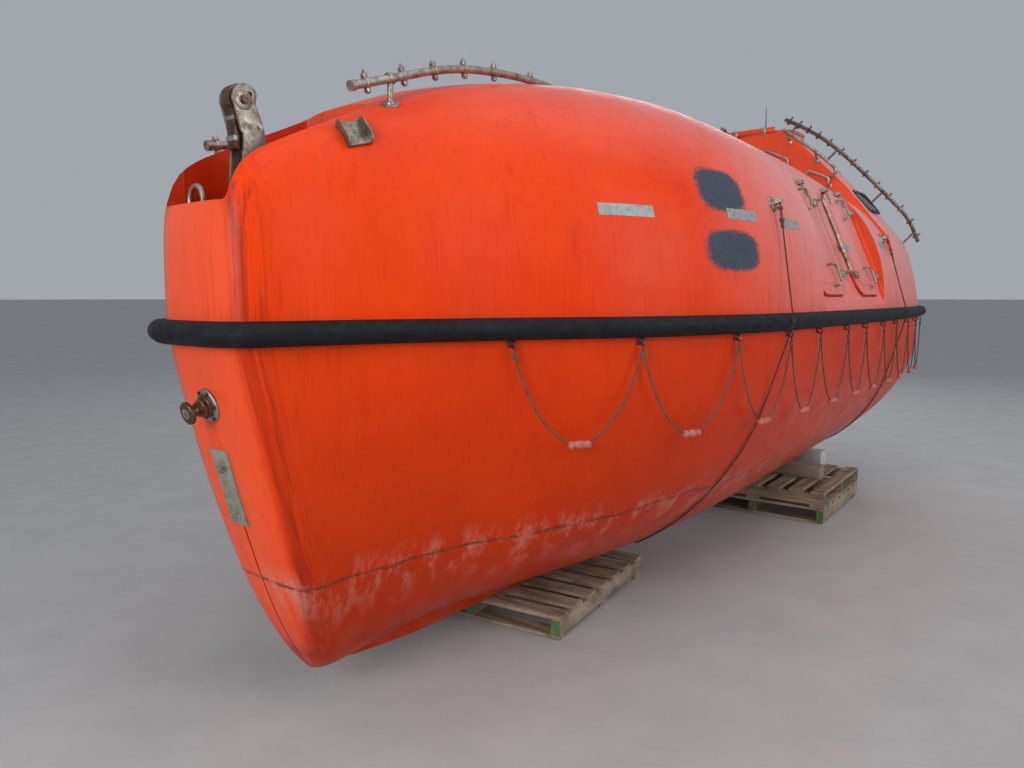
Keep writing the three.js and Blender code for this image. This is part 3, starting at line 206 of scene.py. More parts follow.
def thicken(bm, move):
    """Makes a closed solid of flat faces, as deep as the move."""
    grown = bmesh.ops.extrude_face_region(bm, geom=list(bm.faces))
    tops = [v for v in grown["geom"] if isinstance(v, bmesh.types.BMVert)]
    bmesh.ops.translate(bm, vec=move, verts=tops)
    bmesh.ops.recalc_face_normals(bm, faces=bm.faces)


def level_edges(bm, axis):
    """Edges whose two ends lie at the same height along an axis."""
    return [e for e in bm.edges if abs(e.verts[0].co[axis] - e.verts[1].co[axis]) < LEVEL]


def ring_loft(rings):
    """Closed solid through rings of equal length, with flat ends."""
    bm = bmesh.new()
    across = len(rings[0])
    bmesh.ops.create_grid(bm, x_segments=len(rings) - 1, y_segments=across, size=1)
    bm.verts.ensure_lookup_table()
    for j in range(across + 1):
        for i, ring in enumerate(rings):
            bm.verts[j * len(rings) + i].co = ring[j % across]
    bmesh.ops.remove_doubles(bm, verts=bm.verts, dist=1e-5)
    bmesh.ops.holes_fill(bm, edges=[e for e in bm.edges if e.is_boundary], sides=0)
    bmesh.ops.recalc_face_normals(bm, faces=bm.faces)
    return bm


def box(centre, size, turn=None, edge=0.0, segments=2):
    bm = bmesh.new()
    bmesh.ops.create_cube(bm, size=1)
    bmesh.ops.scale(bm, vec=size, verts=bm.verts)
    if edge:
        bevel(bm, bm.edges, edge, segments)
    return place(bm, centre, turn)


def place(bm, centre, turn=None):
    matrix = Matrix.Translation(Vector(centre))
    if turn is not None:
        matrix = matrix @ turn.to_4x4()
    bmesh.ops.transform(bm, matrix=matrix, verts=bm.verts)
    return bm


def basis(across, up):
    """Turn that takes X to across, Y to up and Z to their outward normal."""
    across = Vector(across).normalized()
    up = Vector(up).normalized()
    out = across.cross(up)
    return Matrix((across, up, out)).transposed()


def facing(direction, hint=(0, 0, 1)):
    """Turn that takes Z to the direction."""
    z = Vector(direction).normalized()
    hint = Vector(hint)
    if abs(z.dot(hint)) > 0.95:
        hint = Vector((1, 0, 0))
    x = hint.cross(z).normalized()
    return Matrix((x, z.cross(x), z)).transposed()


def merge(parts):
    """One bmesh from several, which are freed."""
    whole = bmesh.new()
    for part in parts:
        mesh = meshed("part", part)
        whole.from_mesh(mesh)
        bpy.data.meshes.remove(mesh)
    return whole


def lathe(profile, centre, direction, steps=24):
    """Turned solid: profile rows of radius and height along the direction."""
    bm = bmesh.new()
    verts = [bm.verts.new((radius, 0, height)) for radius, height in profile]
    edges = [bm.edges.new(pair) for pair in zip(verts, verts[1:])]
    bmesh.ops.spin(bm, geom=verts + edges, cent=(0, 0, 0), axis=(0, 0, 1), angle=2 * math.pi,
                   steps=steps, use_merge=True)
    bmesh.ops.remove_doubles(bm, verts=bm.verts, dist=1e-6)
    bmesh.ops.recalc_face_normals(bm, faces=bm.faces)
    return place(bm, centre, facing(direction))


def rod(start, end, radius, steps=16, edge=0.0):
    start, end = Vector(start), Vector(end)
    length = (end - start).length
    edge = edge or radius * 0.12
    profile = [(0, 0), (radius - edge, 0), (radius, edge), (radius, length - edge),
               (radius - edge, length), (0, length)]
    return lathe(profile, start, end - start, steps)


def round_sheet(width, height, radius, steps):
    """Flat sheet with round corners, centred, facing Z."""
    bm = bmesh.new()
    bmesh.ops.create_grid(bm, x_segments=1, y_segments=1, size=0.5)
    bmesh.ops.scale(bm, vec=(width, height, 1), verts=bm.verts)
    bevel(bm, bm.verts, radius, steps, "VERTICES")
    return bm


def rounded(width, height, radius, thickness, edge=0.004, steps=5):
    """Plate with round corners and softened rims, centred, facing Z."""
    bm = round_sheet(width, height, radius, steps)
    thicken(bm, (0, 0, thickness))
    bmesh.ops.translate(bm, vec=(0, 0, -thickness / 2), verts=bm.verts)
    if edge:
        bevel(bm, level_edges(bm, 2), edge)
    return bm


def frame_ring(width, height, radius, band, thickness, edge=0.002, steps=5):
    """Flat ring with round corners, centred, facing Z."""
    bm = round_sheet(width, height, radius, steps)
    bmesh.ops.inset_region(bm, faces=list(bm.faces), thickness=band, use_boundary=True,
                           use_even_offset=True)
    middle = [f for f in bm.faces if f.calc_center_median().length < band]
    bmesh.ops.delete(bm, geom=middle, context="FACES")
    thicken(bm, (0, 0, thickness))
    rims = [e for e in bm.edges if len(e.link_faces) == 2
            and e.link_faces[0].normal.angle(e.link_faces[1].normal, 0) > 1.2]
    bevel(bm, rims, edge)
    return bm


def smooth_path(points, per=6, closed=False):
    """Points of a smooth curve through the given ones."""
    points = [Vector(p) for p in points]
    count = len(points)
    out = []
    spans = count if closed else count - 1
    for i in range(spans):
        def pick(k):
            return points[k % count] if closed else points[min(max(k, 0), count - 1)]
        a, b, c, d = pick(i - 1), pick(i), pick(i + 1), pick(i + 2)
        for k in range(per):
            t = k / per
            out.append(0.5 * ((2 * b) + (c - a) * t + (2 * a - 5 * b + 4 * c - d) * t * t
                              + (3 * b - a - 3 * c + d) * t**3))
    if not closed:
        out.append(points[-1])
    return out


def tube(points, radius, sides=12, closed=False):
    """Round tube along points, as a bmesh, with closed ends."""
    curve = bpy.data.curves.new("tube", "CURVE")
    curve.dimensions = "3D"
    line = curve.splines.new("POLY")
    line.points.add(len(points) - 1)
    for spot, point in zip(line.points, points):
        spot.co = (*point, 1)
    line.use_cyclic_u = closed
    curve.bevel_depth = radius
    curve.bevel_resolution = max(0, sides // 4 - 1)
    curve.use_fill_caps = True
    holder = put("tube", curve)
    bpy.context.view_layer.update()
    mesh = settled(holder)
    bpy.data.objects.remove(holder)
    bpy.data.curves.remove(curve)
    bm = bmesh.new()
    bm.from_mesh(mesh)
    bpy.data.meshes.remove(mesh)
    bmesh.ops.remove_doubles(bm, verts=bm.verts, dist=1e-6)
    bmesh.ops.recalc_face_normals(bm, faces=bm.faces)
    return bm


def hex_bolt(spot, normal, size=0.009, washer=True):
    parts = []
    if washer:
        profile = [(0, SUNK), (size * 1.5, SUNK), (size * 1.5, size * 0.22), (0, size * 0.22)]
        parts.append(lathe(profile, spot, normal, 14))
    head = bmesh.new()
    bmesh.ops.create_cone(head, segments=6, radius1=size, radius2=size * 0.96, depth=size * 0.75,
                          cap_ends=True)
    bmesh.ops.translate(head, vec=(0, 0, size * 0.58), verts=head.verts)
    return merge(parts + [place(head, spot, facing(normal))])


def round_bolt(spot, normal, size=0.008):
    profile = [(0, SUNK), (size, SUNK), (size, size * 0.2), (size * 0.8, size * 0.5),
               (size * 0.4, size * 0.66), (0, size * 0.7)]
    return lathe(profile, spot, normal, 12)


def button(spot, normal, radius, rim, neck, top, low=SUNK, steps=18):
    """Turned foot: a rim that slopes in to a flat top."""
    return lathe([(0, low), (radius, low), (radius, rim), (neck, top), (0, top)], spot, normal,
                 steps)


def round_about(normal, count, start=0.0):
    """Directions square to a normal, evenly spaced about it."""
    turn = facing(normal)
    swings = [start + 2 * math.pi * k / count for k in range(count)]
    return [turn @ Vector((math.cos(swing), math.sin(swing), 0)) for swing in swings]


# Finishes

class Finish:
    """A node material with its shader, and short ways to add nodes."""

    def __init__(self, name, roughness=0.5, metallic=0.0, **sockets):
        self.material = bpy.data.materials.new(name)
        self.material.use_nodes = True
        self.nodes = self.material.node_tree.nodes
        self.shader = self.nodes["Principled BSDF"]
        self.fill(self.shader, Roughness=roughness, Metallic=metallic, **sockets)
        self.place = self.nodes.new("ShaderNodeTexCoord").outputs["Object"]

    def feed(self, socket, value):
        """Links a socket to another node's output, or sets its number, vector or colour."""
        if isinstance(value, bpy.types.NodeSocket):
            self.material.node_tree.links.new(value, socket)
        elif socket.type == "RGBA":
            socket.default_value = (*value, 1)
        else:
            socket.default_value = value

    def fill(self, node, **values):
        for key, value in values.items():
            self.feed(node.inputs[key.replace("_", " ")], value)
        return node

    def node(self, kind, **values):
        return self.fill(self.nodes.new(kind), **values)

    def mapped(self, stretch=(1, 1, 1), turn=(0, 0, 0)):
        return self.node("ShaderNodeMapping", Vector=self.place, Scale=stretch,
                         Rotation=turn).outputs["Vector"]

    def noise(self, scale, detail=4, rough=0.55, stretch=(1, 1, 1), turn=(0, 0, 0), twist=0.0,
              vector=None):
        if vector is None:
            vector = self.mapped(stretch, turn)
        return self.node("ShaderNodeTexNoise", Vector=vector, Scale=scale, Detail=detail,
                         Roughness=rough, Distortion=twist).outputs["Fac"]

    def vector_noise(self, parts, scale, detail=4, rough=0.55):
        """Noise that follows three values of its own instead of plain X, Y and Z."""
        joined = self.node("ShaderNodeCombineXYZ", **dict(zip("XYZ", parts)))
        return self.noise(scale, detail, rough, vector=joined.outputs[0])

    def wave(self, scale, distortion, direction):
        node = self.node("ShaderNodeTexWave", Vector=self.mapped(), Scale=scale,
                         Distortion=distortion, Detail=3)
        node.bands_direction = direction
        return node.outputs["Fac"]

    def axis(self, name, normal=False):
        source = self.node("ShaderNodeNewGeometry").outputs["Normal"] if normal else self.place
        return self.node("ShaderNodeSeparateXYZ", Vector=source).outputs[name]

    def math(self, kind, *values, clamp=False):
        node = self.nodes.new("ShaderNodeMath")
        node.operation = kind
        node.use_clamp = clamp
        for socket, value in zip(node.inputs, values):
            self.feed(socket, value)
        return node.outputs[0]

    def times(self, a, b, clamp=False):
        return self.math("MULTIPLY", a, b, clamp=clamp)

    def span(self, value, low, high, to_low=0.0, to_high=1.0):
        return self.node("ShaderNodeMapRange", Value=value, From_Min=low, From_Max=high,
                         To_Min=to_low, To_Max=to_high).outputs["Result"]

    def ramp(self, value, stops):
        node = self.node("ShaderNodeValToRGB", Fac=value)
        band = node.color_ramp
        while len(band.elements) < len(stops):
            band.elements.new(0.5)
        for element, (where, colour) in zip(band.elements, stops):
            element.position = where
            element.color = (*colour, 1)
        return node.outputs["Color"]

    def mix(self, share, a, b):
        """Colour a where the share is 0 and b where it is 1."""
        node = self.nodes.new("ShaderNodeMix")
        node.data_type = "RGBA"
        for index, value in ((0, share), (6, a), (7, b)):
            self.feed(node.inputs[index], value)
        return node.outputs[2]

    def colour(self, source):
        self.fill(self.shader, Base_Color=source)

    def rough(self, source):
        self.fill(self.shader, Roughness=source)

    def bump(self, height, strength=0.3, depth=0.002):
        node = self.node("ShaderNodeBump", Height=height, Strength=strength, Distance=depth)
        normal = self.shader.inputs["Normal"]
        if normal.is_linked:
            self.feed(node.inputs["Normal"], normal.links[0].from_socket)
        self.feed(normal, node.outputs[0])


def orange_wear_and_painted_light(name, base=(0.93, 0.058, 0.001), deep=(0.78, 0.040, 0.0005), seam=False, patches=(),
                fade=0.16, painted_sky_sheen=0.0):
    """Sun-faded orange gelcoat with rain streaks, chalk, scuffs and stains by the bow crease, plus
    painted sky reflection, painted front light and painted shade.
    """
    finish = Finish(name, roughness=0.34, Specular_IOR_Level=0.17, Coat_Weight=0.03,
                    Coat_Roughness=0.25)
    cloudy = finish.noise(1.7, 5, 0.6)
    body = finish.mix(finish.span(cloudy, 0.35, 0.68), deep, base)
    # Upward faces turn pinkish white: partly real chalking, partly painted sky reflection on the
    # tops.
    chalk = finish.noise(5.5, 6, 0.65)
    top = finish.span(finish.axis("Z", normal=True), 0.35, 0.98)
    chalk_and_sky_sheen = finish.times(top, finish.span(chalk, 0.30, 0.72), clamp=True)
    body = finish.mix(finish.times(chalk_and_sky_sheen, fade), body, (0.86, 0.20, 0.12))
    along = finish.axis("X")
    height = finish.axis("Z")
    forward = finish.axis("X", normal=True)
    # Painted sky reflection: pinkish white towards the aft on side faces and on the crown, broken
    # up by streaky noise.
    if painted_sky_sheen:
        rain = finish.noise(34, 4, 0.7, stretch=(1, 1, 0.06))
        aftward = finish.times(finish.span(along, 1.35, 0.15),
                               finish.span(height, 1.42, 1.95, 0.40, 1.0))
        aftward = finish.times(aftward, finish.span(forward, 0.5, 0.2))
        crown_sheen = finish.times(finish.span(along, 2.3, 0.5), top, clamp=True)
        crown_sheen = finish.times(crown_sheen, finish.span(forward, 0.6, 0.4))
        painted_sheen_mask = finish.math("MAXIMUM", aftward, crown_sheen)
        painted_sheen_mask = finish.times(painted_sheen_mask, finish.span(rain, 0.32, 0.66, 0.66, 1.0), clamp=True)
        body = finish.mix(finish.times(painted_sheen_mask, painted_sky_sheen), body, (0.76, 0.35, 0.33))
    # Painted front light: faces that look forward are mixed towards a brighter orange.
    painted_front_light = finish.times(finish.span(forward, 0.80, 0.95), 0.42)
    body = finish.mix(painted_front_light, body, (0.96, 0.16, 0.065))
    streak = finish.noise(9.0, 5, 0.7, stretch=(1.6, 1.6, 0.09))
    streaks = finish.span(streak, 0.56, 0.78)
    body = finish.mix(finish.times(streaks, 0.34, clamp=True), body, (0.42, 0.020, 0.002))
    pale = finish.noise(13.0, 4, 0.7, stretch=(1.2, 1.2, 0.07), turn=(0, 0, 0.4))
    body = finish.mix(finish.times(finish.span(pale, 0.62, 0.85), 0.14, clamp=True), body,
                      (0.90, 0.17, 0.07))
    grime = finish.noise(38, 6, 0.75)
    body = finish.mix(finish.span(grime, 0.60, 0.80, 0, 0.20), body, (0.22, 0.035, 0.015))
    fine = finish.noise(75, 3, 0.6, stretch=(1, 1, 0.05))
    body = finish.mix(finish.span(fine, 0.56, 0.74, 0, 0.34), body, (0.42, 0.016, 0.002))
    drop = finish.math("MAXIMUM", finish.math("SUBTRACT", SHEER, height), 0.0)
    rake = finish.times(drop, finish.math("MULTIPLY_ADD", drop, 0.05, 0.21))
    behind = finish.math("SUBTRACT", finish.math("SUBTRACT", STEM_X, along), rake)
    runs = finish.vector_noise((behind, finish.axis("Y"), finish.times(height, 0.035)), 62, 4, 0.65)
    by_crease = finish.times(finish.span(behind, 0.016, 0.034), finish.span(behind, 0.15, 0.04),
                             clamp=True)
    drips = finish.times(finish.span(runs, 0.47, 0.62), by_crease)
    body = finish.mix(finish.times(drips, 0.72, clamp=True), body, (0.16, 0.020, 0.010))
    # Painted shade: a smooth dark band just behind the bow crease.
    shade = finish.times(finish.span(behind, 0.020, 0.034), finish.span(behind, 0.062, 0.044),
                         clamp=True)
    body = finish.mix(finish.times(shade, 0.42), body, (0.36, 0.016, 0.003))
    if seam:
        wander = finish.times(finish.span(finish.noise(3.0, 3), 0.3, 0.7, -1, 1), 0.012)
        rise = finish.span(along, 2.7, 1.1, 0.540, 0.668)
        off = finish.math("SUBTRACT", height, finish.math("ADD", rise, wander))
        near = finish.math("ABSOLUTE", off)
        ragged = finish.noise(26, 5, 0.8)
        line = finish.times(finish.span(near, 0.011, 0.002), finish.span(ragged, 0.38, 0.52),
                            clamp=True)
        below = finish.times(finish.span(off, -0.22, 0.0), finish.span(off, 0.10, 0.0), clamp=True)
        # Painted shade: the hull darkens towards the bottom, less on faces that look forward.
        painted_low_shade = finish.times(finish.span(height, 1.45, 0.45, 0.22, 0.85),
                             finish.span(forward, 0.9, 0.7), clamp=True)
        body = finish.mix(finish.times(painted_low_shade, 0.72), body, (0.30, 0.020, 0.001))
        scuff = finish.noise(11, 6, 0.75, stretch=(1, 1, 0.22), turn=(0, 0.25, 0))
        white = finish.times(below, finish.span(scuff, 0.49, 0.66), clamp=True)
        body = finish.mix(finish.times(white, 0.66), body, (0.66, 0.30, 0.23))
        body = finish.mix(finish.times(line, 0.85), body, (0.10, 0.04, 0.025))
        low = finish.span(height, 0.55, 0.12)
        dusty = finish.times(low, finish.span(finish.noise(12, 5), 0.45, 0.7), clamp=True)
        body = finish.mix(finish.times(dusty, 0.30), body, (0.40, 0.17, 0.11))
    gloss = finish.span(finish.noise(11, 4), 0.3, 0.7, 0.27, 0.44)
    for across, up, half_wide, half_high in patches:
        u = finish.math("DIVIDE", finish.math("SUBTRACT", along, across), half_wide)
        v = finish.math("DIVIDE", finish.math("SUBTRACT", height, up), half_high)
        reach = finish.math("ADD", finish.math("POWER", finish.math("ABSOLUTE", u), 3.0),
                            finish.math("POWER", finish.math("ABSOLUTE", v), 3.0))
        speckle = finish.times(finish.span(finish.noise(70, 4, 0.8), 0.3, 0.7, -1, 1), 0.35)
        inside = finish.span(finish.math("ADD", reach, speckle), 1.25, 0.70)
        port = finish.span(finish.axis("Y"), 0.2, 0.3)
        inside = finish.times(finish.times(inside, port), 0.985, clamp=True)
        mist = finish.mix(finish.span(finish.noise(160, 4, 0.8), 0.35, 0.65), (0.016, 0.026, 0.042),
                          (0.075, 0.105, 0.150))
        body = finish.mix(inside, body, mist)
    finish.colour(body)
    finish.rough(gloss)
    finish.bump(finish.noise(3.2, 2, 0.4), 0.25, 0.006)
    finish.bump(finish.noise(260, 2, 0.5), 0.06, 0.0006)
    return finish.material


def plain_noise(name, dark, light, scale, roughness, metallic=0.0, bump=0.2, stretch=(1, 1, 1),
                depth=0.001, **sockets):
    """One-stuff finish: two shades mixed by noise, with a fine bump and uneven gloss."""
    finish = Finish(name, roughness, metallic, **sockets)
    grain = finish.noise(scale, 6, 0.6, stretch)
    finish.colour(finish.ramp(grain, [(0.3, dark), (0.7, light)]))
    finish.rough(finish.span(finish.noise(scale * 1.7, 4), 0.3, 0.7, roughness * 0.8,
                             min(1.0, roughness * 1.25)))
    finish.bump(finish.noise(scale * 6, 3, 0.6, stretch), bump, depth)
    return finish.material


def tarnished_steel(name, dark=(0.17, 0.125, 0.09), light=(0.52, 0.47, 0.41), rust=0.5,
                    metallic=0.85):
    """Stainless steel gone brown with tea stains and rust spots."""
    finish = Finish(name, 0.42, metallic)
    stain = finish.noise(24, 6, 0.7)
    body = finish.ramp(stain, [(0.32, dark), (0.62, light)])
    spots = finish.span(finish.noise(85, 5, 0.75), 0.56, 0.7)
    body = finish.mix(finish.times(spots, rust, clamp=True), body, (0.19, 0.065, 0.02))
    finish.colour(body)
    finish.rough(finish.span(stain, 0.3, 0.7, 0.58, 0.30))
    finish.bump(finish.noise(190, 3), 0.12, 0.0005)
    return finish.material


def weathered_wood(name, along="X", dark=(0.13, 0.085, 0.052), light=(0.42, 0.31, 0.21),
                   green=False):
    """Rough-sawn pallet wood with grain, board-to-board tone and dirt, running along one axis."""
    finish = Finish(name, 0.85)
    stretch = (0.7, 14, 14) if along == "X" else (14, 0.7, 14)
    grain = finish.noise(5.0, 8, 0.7, stretch, twist=0.6)
    body = finish.ramp(grain, [(0.28, dark), (0.5, tuple((d + l) / 2 for d, l in zip(dark, light))),
                               (0.72, light)])
    board = finish.noise(3.3, 1, 0.2, (0.5, 9, 3) if along == "X" else (9, 0.5, 3))
    body = finish.mix(finish.span(board, 0.4, 0.62, 0, 0.5), body, (0.50, 0.42, 0.33))
    dirt = finish.span(finish.noise(9, 5, 0.65), 0.48, 0.72)
    body = finish.mix(finish.times(dirt, 0.65, clamp=True), body, (0.055, 0.042, 0.035))
    if green:
        body = finish.mix(0.75, body, (0.02, 0.16, 0.05))
    finish.colour(body)
    finish.bump(grain, 0.55, 0.003)
    finish.bump(finish.noise(120, 4, 0.7, stretch), 0.3, 0.001)
    return finish.material


HULL_ORANGE = orange_wear_and_painted_light("hull_orange", seam=True)
CANOPY_ORANGE = orange_wear_and_painted_light("canopy_orange", painted_sky_sheen=0.95,
                            patches=[(1.105, 2.025, 0.16, 0.095), (1.098, 1.765, 0.185, 0.088)])
TOWER_ORANGE = orange_wear_and_painted_light("tower_orange", base=(0.88, 0.048, 0.002), deep=(0.70, 0.032, 0.001),
                           painted_sky_sheen=1.0)
HATCH_ORANGE = orange_wear_and_painted_light("hatch_orange", base=(0.88, 0.085, 0.016), deep=(0.74, 0.055, 0.008),
                           fade=0.4, painted_sky_sheen=0.85)
# Deeper copy of the orange for faces that look forward: partly less sun fading, partly painted
# shade, as these faces catch less sky reflection.
UNFADED_NO_SHEEN_ORANGE = orange_wear_and_painted_light("orange_unfaded_no_sky_sheen", base=(0.86, 0.040, 0.001), deep=(0.70, 0.026, 0.001),
                           fade=0.04)
# Darker copy of the orange for the inside of the trough: painted shade in the recess.
TROUGH_SHADED_ORANGE = orange_wear_and_painted_light("trough_orange_painted_shade", base=(0.66, 0.032, 0.002), deep=(0.48, 0.020, 0.001),
                        fade=0.1)
RUBBER = plain_noise("fender_rubber", (0.004, 0.0045, 0.006), (0.014, 0.015, 0.019), 22, 0.62,
                     bump=0.5, depth=0.002, Specular_IOR_Level=0.22)
STEEL = tarnished_steel("tarnished_steel")
GREY_STEEL = tarnished_steel("grey_steel", (0.16, 0.15, 0.135), (0.42, 0.41, 0.38), 0.25)
RUSTY = tarnished_steel("rusty_steel", (0.055, 0.032, 0.022), (0.19, 0.11, 0.07), 0.9)
BRONZE = tarnished_steel("dull_bronze", (0.12, 0.075, 0.03), (0.42, 0.29, 0.11), 0.3)
BLACK_PAINT = plain_noise("black_overspray", (0.010, 0.011, 0.013), (0.040, 0.045, 0.055), 60, 0.55)
TAPE = plain_noise("reflective_tape", (0.20, 0.22, 0.205), (0.40, 0.44, 0.415), 45, 0.4, 0.15, 0.3)
LINER = plain_noise("liner_white", (0.60, 0.58, 0.53), (0.72, 0.70, 0.65), 14, 0.55)
SEAT_BLACK = plain_noise("seat_black", (0.012, 0.012, 0.013), (0.035, 0.035, 0.036), 90, 0.6)
ENGINE_GREY = plain_noise("engine_grey", (0.05, 0.055, 0.06), (0.13, 0.14, 0.15), 30, 0.5, 0.3)
GLASS = plain_noise("window_glass", (0.014, 0.020, 0.024), (0.030, 0.040, 0.046), 4, 0.06,
                    Specular_IOR_Level=0.8)
GASKET = plain_noise("gasket_black", (0.010, 0.010, 0.010), (0.030, 0.030, 0.030), 80, 0.7)
PLANK_X = weathered_wood("pallet_wood_x", "X")
PLANK_Y = weathered_wood("pallet_wood_y", "Y")
GREEN_END = weathered_wood("green_stringer", "X", green=True)
HOOK_STEEL = tarnished_steel("hook_steel", (0.15, 0.115, 0.085), (0.42, 0.385, 0.335), 0.8)
BRACKET_GREY = tarnished_steel("bracket_grey", (0.13, 0.12, 0.09), (0.34, 0.32, 0.25), 0.25)
PIPE_BROWN = tarnished_steel("pipe_brown", (0.085, 0.058, 0.040), (0.30, 0.235, 0.18), 0.55)
ZINC = tarnished_steel("zinc_plate", (0.20, 0.20, 0.155), (0.36, 0.36, 0.29), 0.2, 0.3)
ZINC_BOLT = tarnished_steel("zinc_bolts", (0.15, 0.145, 0.115), (0.50, 0.50, 0.43), 0.35, 0.5)
FOAM = plain_noise("white_foam", (0.55, 0.54, 0.50), (0.74, 0.73, 0.70), 26, 0.8, bump=0.4)
FLOAT_PINK = plain_noise("float_pink", (0.40, 0.085, 0.06), (0.62, 0.19, 0.15), 40, 0.6)


def rope_finish(name, dark, light):
    """Laid rope with slanting strands and grime."""
    finish = Finish(name, 0.85)
    finish.colour(finish.mix(finish.span(finish.noise(30), 0.35, 0.7), dark, light))
    finish.bump(finish.wave(75, 1.2, "DIAGONAL"), 0.6, 0.0015)
    return finish.material


ROPE = rope_finish("lifeline_rope", (0.09, 0.055, 0.042), (0.17, 0.115, 0.09))
WIRE = rope_finish("gripe_wire", (0.030, 0.022, 0.018), (0.075, 0.055, 0.045))


# Camera and light

# The photo's horizon lies this far above its middle, in pixels, at this focal length
HORIZON_RISE = 88
FOCAL_PIXELS = 769
LAMP_TARGET = lift(1.2)


def studio():
    camera = bpy.data.cameras.new("camera")
    camera.lens = 27.03
    camera.sensor_width = 36
    camera.clip_end = 1000
    eye = put("camera", camera)
    eye.location = (4.305, 2.42, 1.57)
    pitch = math.atan(HORIZON_RISE / FOCAL_PIXELS)
    heading = math.radians(39.5)
    look = Vector((-math.cos(heading) * math.cos(pitch), -math.sin(heading) * math.cos(pitch),
                   -math.sin(pitch)))
    eye.rotation_euler = look.to_track_quat("-Z", "Y").to_euler()
    bpy.context.scene.camera = eye
    bpy.context.scene.view_settings.view_transform = "Standard"
    floor = bmesh.new()
    bmesh.ops.create_circle(floor, cap_ends=True, radius=400, segments=64)
    bmesh.ops.translate(floor, vec=(0, 0, -0.0005), verts=floor.verts)
    ground = loose("floor", floor)
    ground.data.materials.append(plain_noise("pale_floor", (0.42, 0.42, 0.415), (0.47, 0.47, 0.465),
                                             3, 0.9, bump=0.05))
    world = bpy.data.worlds.new("soft_sky")
    bpy.context.scene.world = world
    world.use_nodes = True
    sky = world.node_tree.nodes["Background"]
    sky.inputs["Color"].default_value = (0.86, 0.91, 1.0, 1)
    sky.inputs["Strength"].default_value = 0.42
    for name, spot, size, power, tint in [
        ("overhead", (1.5, 3.0, 7.5), 7.0, 120, (1, 0.99, 0.97)),
        ("front", (9.2, 1.8, 3.3), 4.0, 290, (1, 0.99, 0.97)),
        ("side", (-0.5, 9.0, 4.2), 6.0, 235, (0.97, 0.99, 1)),
        ("rear", (-8.0, -5.0, 5.0), 6.0, 190, (0.97, 0.99, 1)),
    ]:
        light = bpy.data.lights.new(name, "AREA")
        light.shape = "DISK"
        light.size = size
        light.energy = power
        light.color = tint
        lamp = put(name, light)
        lamp.location = spot
        lamp.rotation_euler = (LAMP_TARGET - Vector(spot)).to_track_quat("-Z", "Y").to_euler()


studio()

# Shells

STATIONS = sorted({round(2.2 * (i / 34) ** 1.7, 4) for i in range(35)}
                  | {round(2.2 + 3.2 * i / 26, 4) for i in range(27)}
                  | {5.5, 5.6, 5.7, 5.78, 5.85, 5.9, 5.94, 5.97, 6.0, 6.02, 6.035, 6.05, TOWER_AFT})
GIRTH = 26


def squeeze(aft, inset):
    return inset + aft * (1 - 2 * inset / LENGTH)


def round_ring(half_points):
    """Closed ring from a port half that ends on the centreline."""
    return half_points + [Vector((p.x, -p.y, p.z)) for p in reversed(half_points[:-1])]


def hull_ring(aft, inset=0.0, rise=0.0, steps=GIRTH):
    half = column(HULL_LINES, 1, aft) - inset
    bottom = column(HULL_LINES, 2, aft) + inset
    power = 2 / column(HULL_LINES, 3, aft)
    fade = max(0.0, 1 - aft / 1.15)
    points = [at(squeeze(aft, inset), half, SHEER + rise)] if rise else []
    for j in range(steps + 1):
        turn = j / steps * math.pi / 2
        y = 0 if j == steps else half * max(0.0, math.cos(turn)) ** power
        z = SHEER - (SHEER - bottom) * math.sin(turn) ** power
        points.append(at(squeeze(aft, inset) + column(STEM_RAKE, 1, z) * fade, y, z))
    return round_ring(points)


def canopy_ring(aft, inset=0.0, drop=0.0, steps=GIRTH):
    half = column(HULL_LINES, 1, aft) - inset
    crown = column(CANOPY_LINES, 1, aft) - inset
    power = 2 / column(CANOPY_LINES, 2, aft)
    points = [at(squeeze(aft, inset), half, SHEER - drop)] if drop else []
    for j in range(steps + 1):
        turn = j / steps * math.pi / 2
        y = 0 if j == steps else half * max(0.0, math.cos(turn)) ** power
        z = SHEER + (crown - SHEER) * math.sin(turn) ** power
        points.append(at(squeeze(aft, inset), y, z))
    return round_ring(points)


SMOOTH_SECTION = [(p.x, p.z) for p in smooth_path([(s, 0, z) for s, z in TOWER_SECTION], 4)]


def tower_ring(aft, inset=0.0, drop=0.0):
    half = column(HULL_LINES, 1, aft) - inset
    lead = (aft - TOWER_AFT) / (LENGTH - TOWER_AFT)
    points = [at(aft - inset * lead, half, SHEER - drop)] if drop else []
    for k, (share, height) in enumerate(SMOOTH_SECTION):
        z = max(SHEER, height - inset * (height - SHEER) / (TOWER_TOP - SHEER))
        reach = TOWER_AFT + (aft_face(z) - inset - TOWER_AFT) * lead
        last = k == len(SMOOTH_SECTION) - 1
        points.append(at(reach, 0 if last else share * half, z))
    return round_ring(points)


def soften_ends(bm, offset, where):
    """Bevels the rim of a loft's flat end."""
    rims = [e for e in bm.edges if len(e.link_faces) == 2
            and e.calc_face_angle(0) > 0.9 and where(e)]
    bevel(bm, rims, offset, 3)


def brick_between(aft_low, aft_high, half, z_low, z_high, edge=0.0):
    """Block that is as wide to port as to starboard."""
    centre = at((aft_low + aft_high) / 2, 0, (z_low + z_high) / 2)
    return box(centre, (aft_high - aft_low, 2 * half, z_high - z_low), None, edge, 3)


